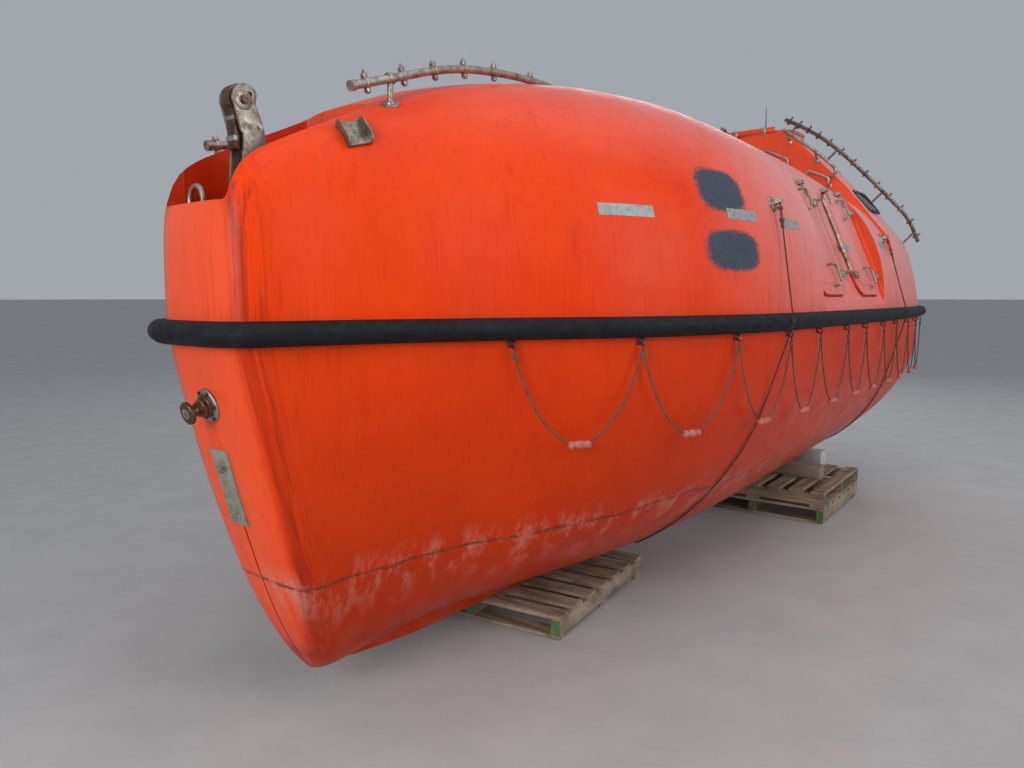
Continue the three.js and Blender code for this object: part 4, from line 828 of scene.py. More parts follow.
RECESS_LOW = Vector((0, 1.066, 1.55))
RECESS_UP = Vector((0, 0.739 - 1.066, 2.32 - 1.55)).normalized()
RECESS_OUT = Vector((0, RECESS_UP.z, -RECESS_UP.y))
FORWARD = Vector((1, 0, 0))
AFTWARD = Vector((-1, 0, 0))
RECESS = dict(aft=3.555, width=1.31, height=1.0, middle=0.41, depth=0.6)
TROUGH = dict(fore=0.075, aft=0.62, half=0.19, floor=1.64, sill=1.87)
AFT_SLOT = dict(fore=5.56, half=0.095, floor=1.64)
BACKING = 0.035
LID_AFT = 4.88
HIGH = 3.0
HATCH_AFTS = {"fore_hatch": 3.2, "mid_hatch": 3.9}
HATCH = dict(width=0.43, height=0.69, radius=0.09, middle=0.37, gap=0.008)


def recess_point(aft, along, out, side=1):
    p = at(aft, 0, 0) + RECESS_LOW + RECESS_UP * along + RECESS_OUT * out
    return Vector((p.x, p.y * side, p.z))


def recess_turn(side=1):
    up = Vector((0, RECESS_UP.y * side, RECESS_UP.z))
    return basis(AFTWARD * side, up)


FACE_UP = Vector((FACE_SLOPE, 0, 1)).normalized()
FACE_ACROSS = Vector((0, -1, 0))
FACE_OUT = FACE_ACROSS.cross(FACE_UP)


def face_point(y, z, out=0.0):
    return at(aft_face(z), y, z) + FACE_OUT * out


DOOR = dict(y=-0.385, z=1.925, width=0.48, height=0.72, radius=0.13, gap=0.006)
NOSE_CROWN = 0.0015
TUNNEL = dict(fore=5.47, radius=0.248, back=6.2)


def hull_piece():
    stem = hull_ring(STATIONS[0])
    nose = [[Vector((p.x + NOSE_CROWN * (1 - share), p.y * share, p.z)) for p in stem]
            for share in (0.04, 0.35, 0.7)]
    outer = ring_loft(nose + [hull_ring(aft) for aft in STATIONS])
    soften_ends(outer, 0.012, lambda e: all(v.co.x < -3.02 for v in e.verts)
                and any(v.co.z < SHEER - 0.001 for v in e.verts))
    piece = loose("hull", outer)
    room_stations = [s for i, s in enumerate(STATIONS) if i % 2 == 0] + [LENGTH]
    room = [hull_ring(aft, WALL, 0.06, 14) for aft in sorted(set(room_stations))]
    room = loose("room", ring_loft(room))
    back = at(TUNNEL["back"], 0, SHAFT_Z)
    carve(room, rod(at(5.43, 0, SHAFT_Z), back, 0.284, 48, 0.001))
    carve(piece, room)
    carve(piece, rod(at(TUNNEL["fore"], 0, SHAFT_Z), back, TUNNEL["radius"], 48, 0.001))
    return dress("hull_skin", mesh_of(piece), HULL_ORANGE, smooth=38, replaces=["hull_shell"])


def keel_piece():
    rings = []
    fore, back = KEEL_BOTTOM[0][0], KEEL_BOTTOM[-1][0]
    for k in range(60):
        aft = fore + (back - fore) * k / 59
        low = column(KEEL_BOTTOM, 1, aft)
        top = column(HULL_LINES, 2, aft) + 0.06
        wide = 0.055 * min(1, 0.35 + (aft - fore) / 0.7)
        half = [(wide + 0.022, top), (wide + 0.006, low + 0.05), (wide, low + 0.014),
                (wide - 0.005, low + 0.004), (wide - 0.014, low), (0, low)]
        rings.append(round_ring([at(aft, y, z) for y, z in half]))
    return new_piece("keel", ring_loft(rings), HULL_ORANGE, smooth=40)


def recess_tool(side, grow=0.0, radius=0.13, edge=0.02, back=0.0):
    """Block that cuts the hatch recess, its flat side on the recess's back wall."""
    bm = rounded(RECESS["width"] + grow, RECESS["height"], radius, RECESS["depth"], edge, 8)
    bmesh.ops.translate(bm, vec=(0, 0, RECESS["depth"] / 2 - back), verts=bm.verts)
    return place(bm, recess_point(RECESS["aft"], RECESS["middle"], 0, side), recess_turn(side))


def grown_hole(part, depth):
    """Block that cuts an opening a gap wider all round than the leaf that shuts it."""
    gap = part["gap"]
    return rounded(part["width"] + 2 * gap, part["height"] + 2 * gap, part["radius"] + gap, depth,
                   0, 8)


def canopy_piece():
    fore = [s for s in STATIONS if s <= TOWER_AFT]
    outer = ring_loft([canopy_ring(aft) for aft in fore])
    soften_ends(outer, 0.006, lambda e: all(v.co.x > 3.02 for v in e.verts)
                and all(v.co.z > SHEER + 0.001 for v in e.verts))
    piece = loose("canopy", outer)
    room = sorted(set([s for i, s in enumerate(fore) if i % 2 == 0] + [TOWER_AFT]))
    room = loose("room", ring_loft([canopy_ring(aft, WALL, 0.04, 14) for aft in room]))
    half = TROUGH["half"]
    carve(room, brick_between(-0.2, TROUGH["aft"] + WALL, half + WALL, TROUGH["floor"] - WALL,
                              HIGH))
    for side in (1, -1):
        carve(room, recess_tool(side, 2 * WALL, 0.16, 0, BACKING))
    carve(piece, room)
    carve(piece, brick_between(TROUGH["fore"], TROUGH["aft"], half, TROUGH["floor"], HIGH, 0.03))
    carve(piece, brick_between(-0.2, 0.12, half, TROUGH["sill"], HIGH, 0.02))
    for side in (1, -1):
        carve(piece, recess_tool(side))
        for aft in HATCH_AFTS.values():
            middle = recess_point(aft, HATCH["middle"], 0, side)
            carve(piece, place(grown_hole(HATCH, 0.3), middle, recess_turn(side)))
    piece = dress("canopy_skin", mesh_of(piece), [CANOPY_ORANGE, TROUGH_SHADED_ORANGE, UNFADED_NO_SHEEN_ORANGE],
                  smooth=38, replaces=["canopy_forward"])
    # Trough faces take the copy darkened for painted shade, the recess's forward-facing aft walls
    # the deeper copy without painted sky sheen.
    for face in piece.data.polygons:
        c = face.center
        in_trough = 2.4 < c.x < 2.96 and abs(c.y) < 0.1905 and c.z > 1.635
        aft_wall = face.normal.x > 0.35 and -1.21 < c.x < -1.0 and abs(c.y) > 0.6
        face.material_index = 1 if in_trough else 2 if aft_wall else 0
    return piece


def tower_piece():
    steps = [TOWER_AFT, 4.75, 4.9, 5.05, 5.2, 5.4, 5.6, 5.75, 5.85, 5.92, 5.97, 6.01, 6.035, 6.05]
    outer = ring_loft([tower_ring(aft) for aft in steps])
    soften_ends(outer, 0.022, lambda e: all(v.co.z > SHEER + 0.02 for v in e.verts))
    piece = loose("tower", outer)
    room_steps = [TOWER_AFT + WALL, 5.05, 5.4, 5.7, 5.92, 6.05]
    room = loose("room", ring_loft([tower_ring(aft, WALL, 0.04) for aft in room_steps]))
    fore, half, floor = AFT_SLOT["fore"], AFT_SLOT["half"], AFT_SLOT["floor"]
    carve(room, brick_between(fore - WALL, 6.15, half + WALL, floor - WALL, HIGH))
    carve(piece, room)
    carve(piece, ring_loft([canopy_ring(aft, WALL, 0.04, 14) for aft in (4.55, 4.66)]))
    carve(piece, brick_between(fore, 6.15, half, floor, HIGH, 0.012))
    face_turn = basis(FACE_ACROSS, FACE_UP)
    carve(piece, place(grown_hole(DOOR, 0.24), face_point(DOOR["y"], DOOR["z"]), face_turn))
    coaming = rounded(0.374, 0.464, 0.102, 0.08, 0.004, 8)
    carve(piece, place(coaming, at(LID_AFT, 0, TOWER_TOP + 0.0046 - 0.04)), "UNION")
    carve(piece, place(rounded(0.342, 0.432, 0.086, 0.3, 0, 8), at(LID_AFT, 0, TOWER_TOP)))
    for spot, size, radius, turned in window_places(1) + window_places(-1) + [FRONT_WINDOW]:
        hole = rounded(size[0] - 0.03, size[1] - 0.03, radius, 0.24, 0, 6)
        carve(piece, place(hole, spot, turned))
    return dress("tower_skin", mesh_of(piece), TOWER_ORANGE, smooth=34, replaces=["conning_tower"])


SHOULDER_UP = Vector((0, -0.62, 0.785)).normalized()


def window_places(side):
    """Centre on the skin, size, corner radius and turn of each tower window on one side."""
    up = Vector((0, SHOULDER_UP.y * side, SHOULDER_UP.z))
    return [
        (face_point(0.29 * side, 2.49), (0.2, 0.19), 0.03, basis(FACE_ACROSS, FACE_UP)),
        (at(4.86, 0.749 * side, 2.256), (0.3, 0.17), 0.025, basis(AFTWARD * side, up)),
    ]


FRONT_WINDOW = (at(TOWER_AFT, -0.145, 2.595), (0.31, 0.18), 0.025, basis((0, 1, 0), (0, 0, 1)))


HULL = hull_piece()
KEEL = keel_piece()
CANOPY = canopy_piece()
TOWER = tower_piece()


def tree_of(*pieces):
    bm = bmesh.new()
    for piece in pieces:
        bm.from_mesh(piece.data)
    tree = BVHTree.FromBMesh(bm)
    bm.free()
    return tree


SKIN = tree_of(HULL, CANOPY, TOWER)


def on_skin(origin, direction, out=0.0):
    """Point and normal where a ray meets the boat's skin, lifted outwards."""
    spot, normal, _, _ = SKIN.ray_cast(Vector(origin), Vector(direction).normalized())
    if spot is None:
        return None, None
    if normal.dot(Vector(direction)) > 0:
        normal = -normal
    return spot + normal * out, normal


def on_side(aft, z, side=1, out=0.0):
    return on_skin((STEM_X - aft, 3.0 * side, z), (0, -side, 0), out)


# Fender

def fender_piece():
    section = [(0.0004, -0.036), (0.012, -0.041), (0.026, -0.0415), (0.040, -0.037),
               (0.052, -0.027), (0.060, -0.014), (0.063, 0.0), (0.060, 0.014), (0.052, 0.027),
               (0.040, 0.037), (0.026, 0.0415), (0.012, 0.041), (0.0004, 0.036)]
    port = [Vector((STEM_X - aft, column(HULL_LINES, 1, aft), 0)) for aft in STATIONS]
    loop = port + [Vector((p.x, -p.y, 0)) for p in reversed(port)]
    count, across = len(loop), len(section)
    rings = []
    for i, p in enumerate(loop):
        before = (p - loop[i - 1]).normalized()
        after = (loop[(i + 1) % count] - p).normalized()
        out_a = Vector((-before.y, before.x, 0))
        out_b = Vector((-after.y, after.x, 0))
        out = (out_a + out_b) / max(0.4, 1 + out_a.dot(out_b))
        if out.dot(Vector((p.x * 0.2, p.y, 0))) < 0:
            out = -out
        rings.append([p + out * reach + lift(SHEER + rise) for reach, rise in section])
    bm = bmesh.new()
    bmesh.ops.create_grid(bm, x_segments=count, y_segments=across, size=1)
    bm.verts.ensure_lookup_table()
    for j in range(across + 1):
        for i in range(count + 1):
            bm.verts[j * (count + 1) + i].co = rings[i % count][j % across]
    bmesh.ops.remove_doubles(bm, verts=bm.verts, dist=1e-5)
    bmesh.ops.recalc_face_normals(bm, faces=bm.faces)
    return new_piece("fender_rubber", bm, RUBBER, smooth=60, replaces=["fender"])


fender_piece()

# Shared fittings

SIDES = (("port", 1), ("starboard", -1))


def outline_plate(outline, y, thickness, edge=0.0015, rounds=4):
    """Plate cut to an outline of aft and height, standing fore and aft."""
    points = [at(aft, 0, z) for aft, z in outline]
    points = smooth_path(points, rounds, closed=True) if rounds else points
    bm = bmesh.new()
    verts = [bm.verts.new(p + Vector((0, y - thickness / 2, 0))) for p in points]
    bm.faces.new(verts)
    thicken(bm, (0, thickness, 0))
    bevel(bm, level_edges(bm, 1), edge)
    return bm


def cut(bm, tool):
    """One bmesh less another."""
    piece = loose("cut", bm)
    carve(piece, tool)
    out = bmesh.new()
    out.from_mesh(mesh_of(piece))
    return out


def turned_over(bm):
    """Mirrors a bmesh from port to starboard."""
    bmesh.ops.scale(bm, vec=(1, -1, 1), verts=bm.verts)
    bmesh.ops.reverse_faces(bm, faces=bm.faces)
    return bm


def along(path, share):
    """Point and direction at a share of a path's length."""
    lengths = [(b - a).length for a, b in zip(path, path[1:])]
    left = share * sum(lengths)
    for k, length in enumerate(lengths):
        if left <= length or k == len(lengths) - 1:
            heading = (path[k + 1] - path[k]).normalized()
            return path[k] + heading * left, heading
        left -= length
    return path[-1], heading


def at_aft(path, aft):
    """Point and direction where a path passes a distance aft."""
    k = min(range(len(path) - 1), key=lambda i: abs(STEM_X - aft - (path[i].x + path[i + 1].x) / 2))
    heading = (path[k + 1] - path[k]).normalized()
    return path[k] + heading * ((STEM_X - aft - path[k].x) / heading.x), heading


def collar(spot, direction, radius, wide=0.009, thick=0.0035):
    """Band round a pipe."""
    profile = [(radius - 0.001, -wide), (radius + thick, -wide), (radius + thick + 0.001, 0),
               (radius + thick, wide), (radius - 0.001, wide), (radius - 0.001, -wide)]
    return lathe(profile, spot, direction, 24)


def pipe_clamp(spot, direction, radius, out):
    """Band with a lug and bolt above and below."""
    out = (out - direction * out.dot(direction)).normalized()
    sideways = out.cross(direction)
    parts = [collar(spot, direction, radius)]
    for way in (1, -1):
        lug = spot + out * way * (radius + 0.008)
        parts.append(box(lug, (0.016, 0.018, 0.016), basis(sideways, direction), 0.002))
        parts.append(hex_bolt(lug + sideways * 0.008, sideways, 0.0065))
        parts.append(round_bolt(lug + out * way * 0.007, out * way, 0.009))
    return parts


def spray_head(spot, out, radius, size=1.0):
    profile = [(0, 0), (0.006, 0), (0.006, 0.012), (0.0095, 0.013), (0.0095, 0.021),
               (0.0055, 0.023), (0.0055, 0.029), (0.002, 0.031), (0, 0.031)]
    return lathe([(r * size, h * size) for r, h in profile], spot + out * (radius - 0.002), out, 12)


def flange(spot, normal, radius=0.036, thick=0.006, bolts=4, turn=0.4):
    """Round foot with its bolts and a weld fillet."""
    parts = [lathe([(0, -0.012), (radius, -0.012), (radius, thick - 0.001), (radius - 0.001, thick),
                    (radius * 0.5, thick), (radius * 0.42, thick + 0.006), (0, thick + 0.006)],
                   spot, normal, 28)]
    raised = spot + Vector(normal).normalized() * thick
    for way in round_about(normal, bolts, turn):
        parts.append(hex_bolt(raised + way * radius * 0.75, normal, 0.0055))
    return parts


def top_of(aft, y):
    return on_skin((STEM_X - aft, y, 4), (0, 0, -1))


def laid(aft, z, width, height, thick, side):
    """Thin patch laid on the boat's side round a point, width fore and aft."""
    bm = bmesh.new()
    bmesh.ops.create_grid(bm, x_segments=14, y_segments=4, size=0.5)
    for v in bm.verts:
        v.co, _ = on_side(aft - v.co.x * width, z + v.co.y * height, side, 0.0004)
    bmesh.ops.recalc_face_normals(bm, faces=bm.faces)
    if sum(f.normal.y for f in bm.faces) * side < 0:
        bmesh.ops.reverse_faces(bm, faces=bm.faces)
    bmesh.ops.solidify(bm, geom=bm.faces[:], thickness=-thick)
    bmesh.ops.recalc_face_normals(bm, faces=bm.faces)
    return bm


# Side hatches: cover, rubber, straps with knuckles, grab handles and dogs

HINGE_ALONG = HATCH["middle"] + HATCH["height"] / 2 + 0.014
HINGE_OUT = 0.022
STRAP_SHIFTS = (-0.13, 0.13)


def side_hatch(name, aft, side_name, side):
    body = f"{name}_{side_name}_leaf"
    node = f"{name}_{side_name}"
    turn = recess_turn(side)

    def spot(shift, height, out):
        return recess_point(aft + shift, height, out, side)

    normal = turn @ UP
    plug = rounded(HATCH["width"], HATCH["height"], HATCH["radius"], 0.031, 0.004, 8)
    plug = place(plug, spot(0, HATCH["middle"], -0.0165), turn)
    cover = rounded(0.456, 0.684, 0.098, 0.016, 0.006, 8)
    cover = place(cover, spot(0, 0.3655, 0.0112), turn)
    field = place(rounded(0.350, 0.560, 0.065, 0.005, 0.0024, 8), spot(0, 0.3655, 0.0200), turn)
    new_piece(f"{node}_cover", merge([plug, cover, field]), HATCH_ORANGE, body, 35, [node])
    seal = place(rounded(0.448, 0.676, 0.095, 0.0045, 0.001, 8), spot(0, 0.3655, 0.0024), turn)
    new_piece(f"{node}_seal", seal, GASKET, body, 40)

    metal = []
    for shift in STRAP_SHIFTS:
        metal.append(box(spot(shift, HINGE_ALONG - 0.050, 0.0215), (0.034, 0.092, 0.0045), turn,
                         0.0018))
        metal.append(rod(spot(shift - 0.018, HINGE_ALONG, HINGE_OUT),
                         spot(shift + 0.018, HINGE_ALONG, HINGE_OUT), 0.0115, 20, 0.0015))
        for height in (0.034, 0.064, 0.086):
            metal.append(hex_bolt(spot(shift, HINGE_ALONG - height, 0.0236), normal, 0.0062))
    for low, high, shift in ((0.070, 0.200, 0.045), (0.535, 0.665, 0.045)):
        path = smooth_path([spot(shift - 0.028, low, 0.018), spot(shift - 0.028, low, 0.040),
                            spot(shift - 0.020, low + 0.006, 0.053),
                            spot(shift + 0.004, low + 0.016, 0.054),
                            spot(shift + 0.020, low + 0.045, 0.054),
                            spot(shift + 0.022, high - 0.045, 0.054),
                            spot(shift + 0.006, high - 0.014, 0.054),
                            spot(shift - 0.018, high - 0.005, 0.053),
                            spot(shift - 0.028, high, 0.040), spot(shift - 0.028, high, 0.018)], 5)
        metal.append(tube(path, 0.0068, 12))
        for height in (low, high):
            metal.append(button(spot(shift - 0.028, height, 0.0185), normal, 0.016, 0.002, 0.009,
                                0.005, 0, 16))
    for shift, height in ((0.208, 0.600), (0.208, 0.150), (-0.208, 0.150)):
        metal.append(box(spot(shift, height, 0.030), (0.036, 0.044, 0.022), turn, 0.003))
        metal.append(box(spot(shift + 0.012 * (1 if shift > 0 else -1), height, 0.037),
                         (0.052, 0.016, 0.010), turn, 0.002))
        metal.append(hex_bolt(spot(shift - 0.006, height + 0.012, 0.0405), normal, 0.0055))
        metal.append(round_bolt(spot(shift, height - 0.013, 0.0408), normal, 0.005))
    new_piece(f"{node}_metal", merge(metal), STEEL, body, 32)

    ears = []
    for shift in STRAP_SHIFTS:
        for end in (-1, 1):
            middle = spot(shift + end * 0.0245, HINGE_ALONG + 0.002, 0.014)
            ears.append(box(middle, (0.009, 0.028, 0.036), turn, 0.0025))
        ears.append(rod(spot(shift - 0.031, HINGE_ALONG, HINGE_OUT),
                        spot(shift + 0.031, HINGE_ALONG, HINGE_OUT), 0.0045, 12))
    new_piece(f"{node}_hinge_ears", merge(ears), STEEL, "root", 32)


for hatch_name, hatch_aft in HATCH_AFTS.items():
    for side_name, side in SIDES:
        side_hatch(hatch_name, hatch_aft, side_name, side)


# Grab rails beside the hatches and on the tower's front

HATCH_RAIL_AFT = 3.55


def hatch_rail(side):
    def spot(height, out):
        return recess_point(HATCH_RAIL_AFT, height, out, side)

    path = smooth_path([spot(0.163, -0.004), spot(0.163, 0.022), spot(0.170, 0.038),
                        spot(0.190, 0.045), spot(0.40, 0.046), spot(0.612, 0.045),
                        spot(0.632, 0.038), spot(0.640, 0.022), spot(0.640, -0.004)], 6)
    normal = recess_turn(side) @ UP
    feet = [button(spot(height, 0), normal, 0.020, 0.002, 0.013, 0.006, steps=20)
            for height in (0.163, 0.640)]
    return merge([tube(path, 0.0105, 16)] + feet)


def tower_rail(side):
    path = [(4.545, 0.228, 2.800), (4.540, 0.300, 2.746), (4.537, 0.378, 2.686),
            (4.535, 0.490, 2.598), (4.535, 0.590, 2.508), (4.537, 0.622, 2.470),
            (4.541, 0.618, 2.444), (4.548, 0.596, 2.430), (4.565, 0.574, 2.428),
            (4.603, 0.566, 2.428)]
    parts = [tube(smooth_path([at(a, y * side, z) for a, y, z in path], 6), 0.012, 16)]
    for y, z in ((0.262, 2.770), (0.468, 2.612)):
        parts.append(rod(at(TOWER_AFT + 0.004, y * side, z - 0.052),
                         at(4.541, y * side, z + 0.003), 0.008, 14))
        parts.append(button(at(TOWER_AFT, y * side, z - 0.055), (1, 0, 0.1), 0.019, 0.003, 0.011,
                            0.006, -0.003))
    parts.append(button(at(TOWER_AFT, 0.566 * side, 2.428), FORWARD, 0.021, 0.003, 0.013, 0.006,
                        -0.003))
    return merge(parts)


for side_name, side in SIDES:
    new_piece(f"hatch_rail_{side_name}_tube", hatch_rail(side), STEEL, "root", 50,
              [f"hatch_rail_{side_name}"])
    new_piece(f"tower_grab_{side_name}_tube", tower_rail(side), STEEL, "root", 50,
              [f"tower_grab_{side_name}"])

FRONT_GRABS = [
    # aft, y, z
    [(4.603, 0.049, 2.595), (4.556, 0.049, 2.600), (4.548, 0.058, 2.632), (4.548, 0.082, 2.660),
     (4.548, 0.115, 2.652), (4.548, 0.248, 2.590), (4.548, 0.268, 2.574), (4.550, 0.270, 2.545),
     (4.558, 0.270, 2.512), (4.603, 0.270, 2.508)],
    [(4.603, 0.398, 2.430), (4.556, 0.399, 2.440), (4.548, 0.410, 2.462), (4.548, 0.433, 2.478),
     (4.548, 0.460, 2.466), (4.548, 0.550, 2.426), (4.548, 0.569, 2.414), (4.550, 0.571, 2.395),
     (4.558, 0.568, 2.372), (4.603, 0.566, 2.368)],
]
front_grabs = []
for grab in FRONT_GRABS:
    front_grabs.append(tube(smooth_path([at(*p) for p in grab], 5), 0.0095, 14))
    for a, y, z in (grab[0], grab[-1]):
        front_grabs.append(button(at(TOWER_AFT, y, z), FORWARD, 0.018, 0.003, 0.011, 0.006))
new_piece("tower_front_grabs", merge(front_grabs), STEEL, "root", 50)


# Flat rail along the front of the roof

RAIL_FRONT = 4.616
flat = box(at(RAIL_FRONT, -0.042, 2.826), (0.012, 0.36, 0.036), None, 0.003)
new_piece("roof_rail_flat", flat, UNFADED_NO_SHEEN_ORANGE, "root", 35, ["roof_rail"])
posts = []
for y in (-0.172, 0.052):
    posts.append(rod(at(RAIL_FRONT + 0.008, y, 2.780), at(RAIL_FRONT + 0.008, y, 2.834), 0.010, 18))
    posts.append(box(at(RAIL_FRONT - 0.006, y, 2.826), (0.010, 0.034, 0.040), None, 0.002))
    posts.append(hex_bolt(at(RAIL_FRONT - 0.011, y, 2.826), FORWARD, 0.0075))
new_piece("roof_rail_posts", merge(posts), STEEL, "root", 35)


# Spray pipes

def fore_pipe(side_name):
    side, line, post, clamps, heads = {
        "port": (1, [(0.487, 2.290), (0.558, 2.314), (0.734, 2.374), (0.895, 2.428), (1.063, 2.470),
                     (1.246, 2.497), (1.42, 2.512), (1.6, 2.516), (1.7, 2.505)], 0.670,
                 (0.558, 0.734, 0.895, 1.063, 1.246, 1.49), (0.558, 0.734, 0.895, 1.063, 1.246)),
        "starboard": (-1, [(0.200, 2.101), (0.302, 2.118), (0.40, 2.138), (0.52, 2.160)], 0.330,
                      (0.240, 0.300), (0.240, 0.300)),
    }[side_name]
    y = 0.24 if side > 0 else -0.209
    path = smooth_path([at(aft, y, z) for aft, z in line], 6)
    radius = 0.0155
    parts = [tube(path, radius, 24)]
    start, heading = path[0], (path[1] - path[0]).normalized()
    parts.append(lathe([(radius - 0.003, 0), (radius + 0.003, 0), (radius + 0.003, 0.022),
                        (radius - 0.003, 0.022), (radius - 0.003, 0)], start - heading * 0.001,
                       heading, 24))
    for aft in clamps:
        spot, heading = at_aft(path, aft)
        parts += pipe_clamp(spot, heading, radius, UP)
    for aft in heads:
        spot, heading = at_aft(path, aft)
        up = (UP - heading * heading.z).normalized()
        parts.append(spray_head(spot + up * 0.012, up, radius, 0.62))
    foot, normal = top_of(post, y)
    spot, _ = at_aft(path, post)
    parts.append(rod(foot - normal * 0.01, spot, 0.0105, 18))
    parts.append(collar(spot, heading, radius, 0.014, 0.004))
    parts += flange(foot, normal, 0.034, 0.005, 4)
    return merge(parts)


TOWER_PIPE = [
    (4.540, 0.250, 2.862), (4.760, 0.290, 2.845), (5.000, 0.350, 2.800), (5.200, 0.452, 2.700),
    (5.370, 0.610, 2.520), (5.500, 0.750, 2.350), (5.600, 0.870, 2.190), (5.700, 0.935, 2.010),
]


def tower_pipe(side):
    path = smooth_path([at(a, y * side, z) for a, y, z in TOWER_PIPE], 8)
    radius = 0.0145
    parts = [tube(path, radius, 20)]
    out = Vector((-0.3, 0.62 * side, 0.72)).normalized()
    for k in range(13):
        spot, heading = along(path, 0.03 + 0.94 * k / 12)
        away = (out - heading * out.dot(heading)).normalized()
        parts.append(collar(spot, heading, radius, 0.008, 0.003))
        parts.append(spray_head(spot, away, radius, 0.9))
        parts.append(box(spot - away * (radius + 0.005), (0.014, 0.016, 0.012),
                         basis(heading, away.cross(heading)), 0.002))
    for share in (0.1, 0.4, 0.7, 0.95):
        spot, heading = along(path, share)
        away = (out - heading * out.dot(heading)).normalized()
        hit, _, _, _ = SKIN.ray_cast(spot, -out)
        if hit is not None and (hit - spot).length < 0.16:
            parts.append(rod(hit - out * 0.006, spot, 0.009, 16))
            parts.append(button(hit, out, 0.024, 0.003, 0.012, 0.007, -0.006, 20))
    return merge(parts)


for side_name, side in SIDES:
    new_piece(f"fore_spray_{side_name}", fore_pipe(side_name), STEEL, "root", 40,
              [f"fore_spray_pipe_{side_name}"])
    new_piece(f"tower_spray_{side_name}", tower_pipe(side), PIPE_BROWN, "root", 40,
              [f"tower_spray_pipe_{side_name}"])


# Windows

def window(name, place_row, side_name=""):
    spot, size, radius, turn = place_row
    out = turn @ UP
    node = f"{name}_{side_name}" if side_name else name
    glass = place(rounded(size[0] - 0.006, size[1] - 0.006, radius, 0.006, 0.0015, 6),
                  spot + out * 0.003, turn)
    new_piece(f"{node}_glass", glass, GLASS, "root", 40, [node])
    rim = frame_ring(size[0] + 0.034, size[1] + 0.034, radius + 0.017, 0.027, 0.012, 0.0025, 6)
    new_piece(f"{node}_rim", place(rim, spot - out * 0.002, turn), GASKET, "root", 40)
    bolts = []
    wide, high = size[0] / 2 + 0.006, size[1] / 2 + 0.006
    rows = [(-0.7, 1), (0, 1), (0.7, 1), (-0.7, -1), (0, -1), (0.7, -1), (-1, 0), (1, 0)]
    for u, v in rows:
        bolts.append(round_bolt(spot + turn @ Vector((u * wide, v * high, 0.010)), out, 0.0048))
    new_piece(f"{node}_bolts", merge(bolts), STEEL, "root", 40)


for side_name, side in SIDES:
    for window_name, row in zip(("aft_window", "side_window"), window_places(side)):
        window(window_name, row, side_name)
window("front_window", FRONT_WINDOW)


# Aft door and roof hatch

DOOR_TURN = basis(FACE_ACROSS, FACE_UP)
DOOR_OUT = DOOR_TURN @ UP


def door_point(right, up, out=0.0):
    return face_point(DOOR["y"], DOOR["z"]) + DOOR_TURN @ Vector((right, up, out))


def aft_door():
    skin = place(rounded(DOOR["width"], DOOR["height"], DOOR["radius"], 0.034, 0.005, 9),
                 door_point(0, 0, -0.015), DOOR_TURN)
    field = place(rounded(0.385, 0.62, 0.085, 0.006, 0.0028, 9), door_point(0, 0, 0.0035),
                  DOOR_TURN)
    new_piece("aft_door_skin", merge([skin, field]), HATCH_ORANGE, "aft_door_leaf", 35,
              ["aft_door"])
    seal = place(frame_ring(0.47, 0.71, 0.125, 0.014, 0.004, 0.001, 9), door_point(0, 0, -0.0345),
                 DOOR_TURN)
    new_piece("aft_door_seal", seal, GASKET, "aft_door_leaf", 40)
    metal = []
    for up in (-0.23, 0.23):
        metal.append(box(door_point(0.205, up, 0.0065), (0.110, 0.040, 0.006), DOOR_TURN, 0.002))
        metal.append(box(door_point(0.252, up, 0.014), (0.012, 0.040, 0.020), DOOR_TURN, 0.003))
        metal.append(rod(door_point(0.26, up - 0.022, 0.024), door_point(0.26, up + 0.022, 0.024),
                         0.011, 20, 0.0015))
        for right in (0.165, 0.195, 0.225):
            metal.append(hex_bolt(door_point(right, up, 0.0090), DOOR_OUT, 0.0062))
    for right, up in ((-0.17, 0.235), (-0.17, -0.235), (0, -0.29)):
        metal.append(lathe([(0, -0.002), (0.024, -0.002), (0.024, 0.005), (0.015, 0.008),
                            (0.014, 0.024), (0.010, 0.028), (0, 0.028)],
                           door_point(right, up, 0.003), DOOR_OUT, 24))
        grip = [door_point(right, up, 0.026), door_point(right - 0.012, up - 0.012, 0.030),
                door_point(right - 0.028, up - 0.028, 0.031),
                door_point(right - 0.046, up - 0.046, 0.029)]
        metal.append(tube(smooth_path(grip, 5), 0.0062, 12))
        metal.append(lathe([(0, -0.009), (0.007, -0.008), (0.010, 0), (0.007, 0.008), (0, 0.009)],
                           door_point(right - 0.046, up - 0.046, 0.029), DOOR_OUT, 14))
    new_piece("aft_door_metal", merge(metal), STEEL, "aft_door_leaf", 32)
    ears = []
    for up in (-0.23, 0.23):
        for end in (-1, 1):
            ears.append(box(door_point(0.266, up + end * 0.0305, 0.013), (0.034, 0.008, 0.034),
                            DOOR_TURN, 0.0025))
        ears.append(rod(door_point(0.26, up - 0.037, 0.024), door_point(0.26, up + 0.037, 0.024),
                        0.0045, 12))
    new_piece("aft_door_hinge_ears", merge(ears), STEEL, "root", 32)


aft_door()


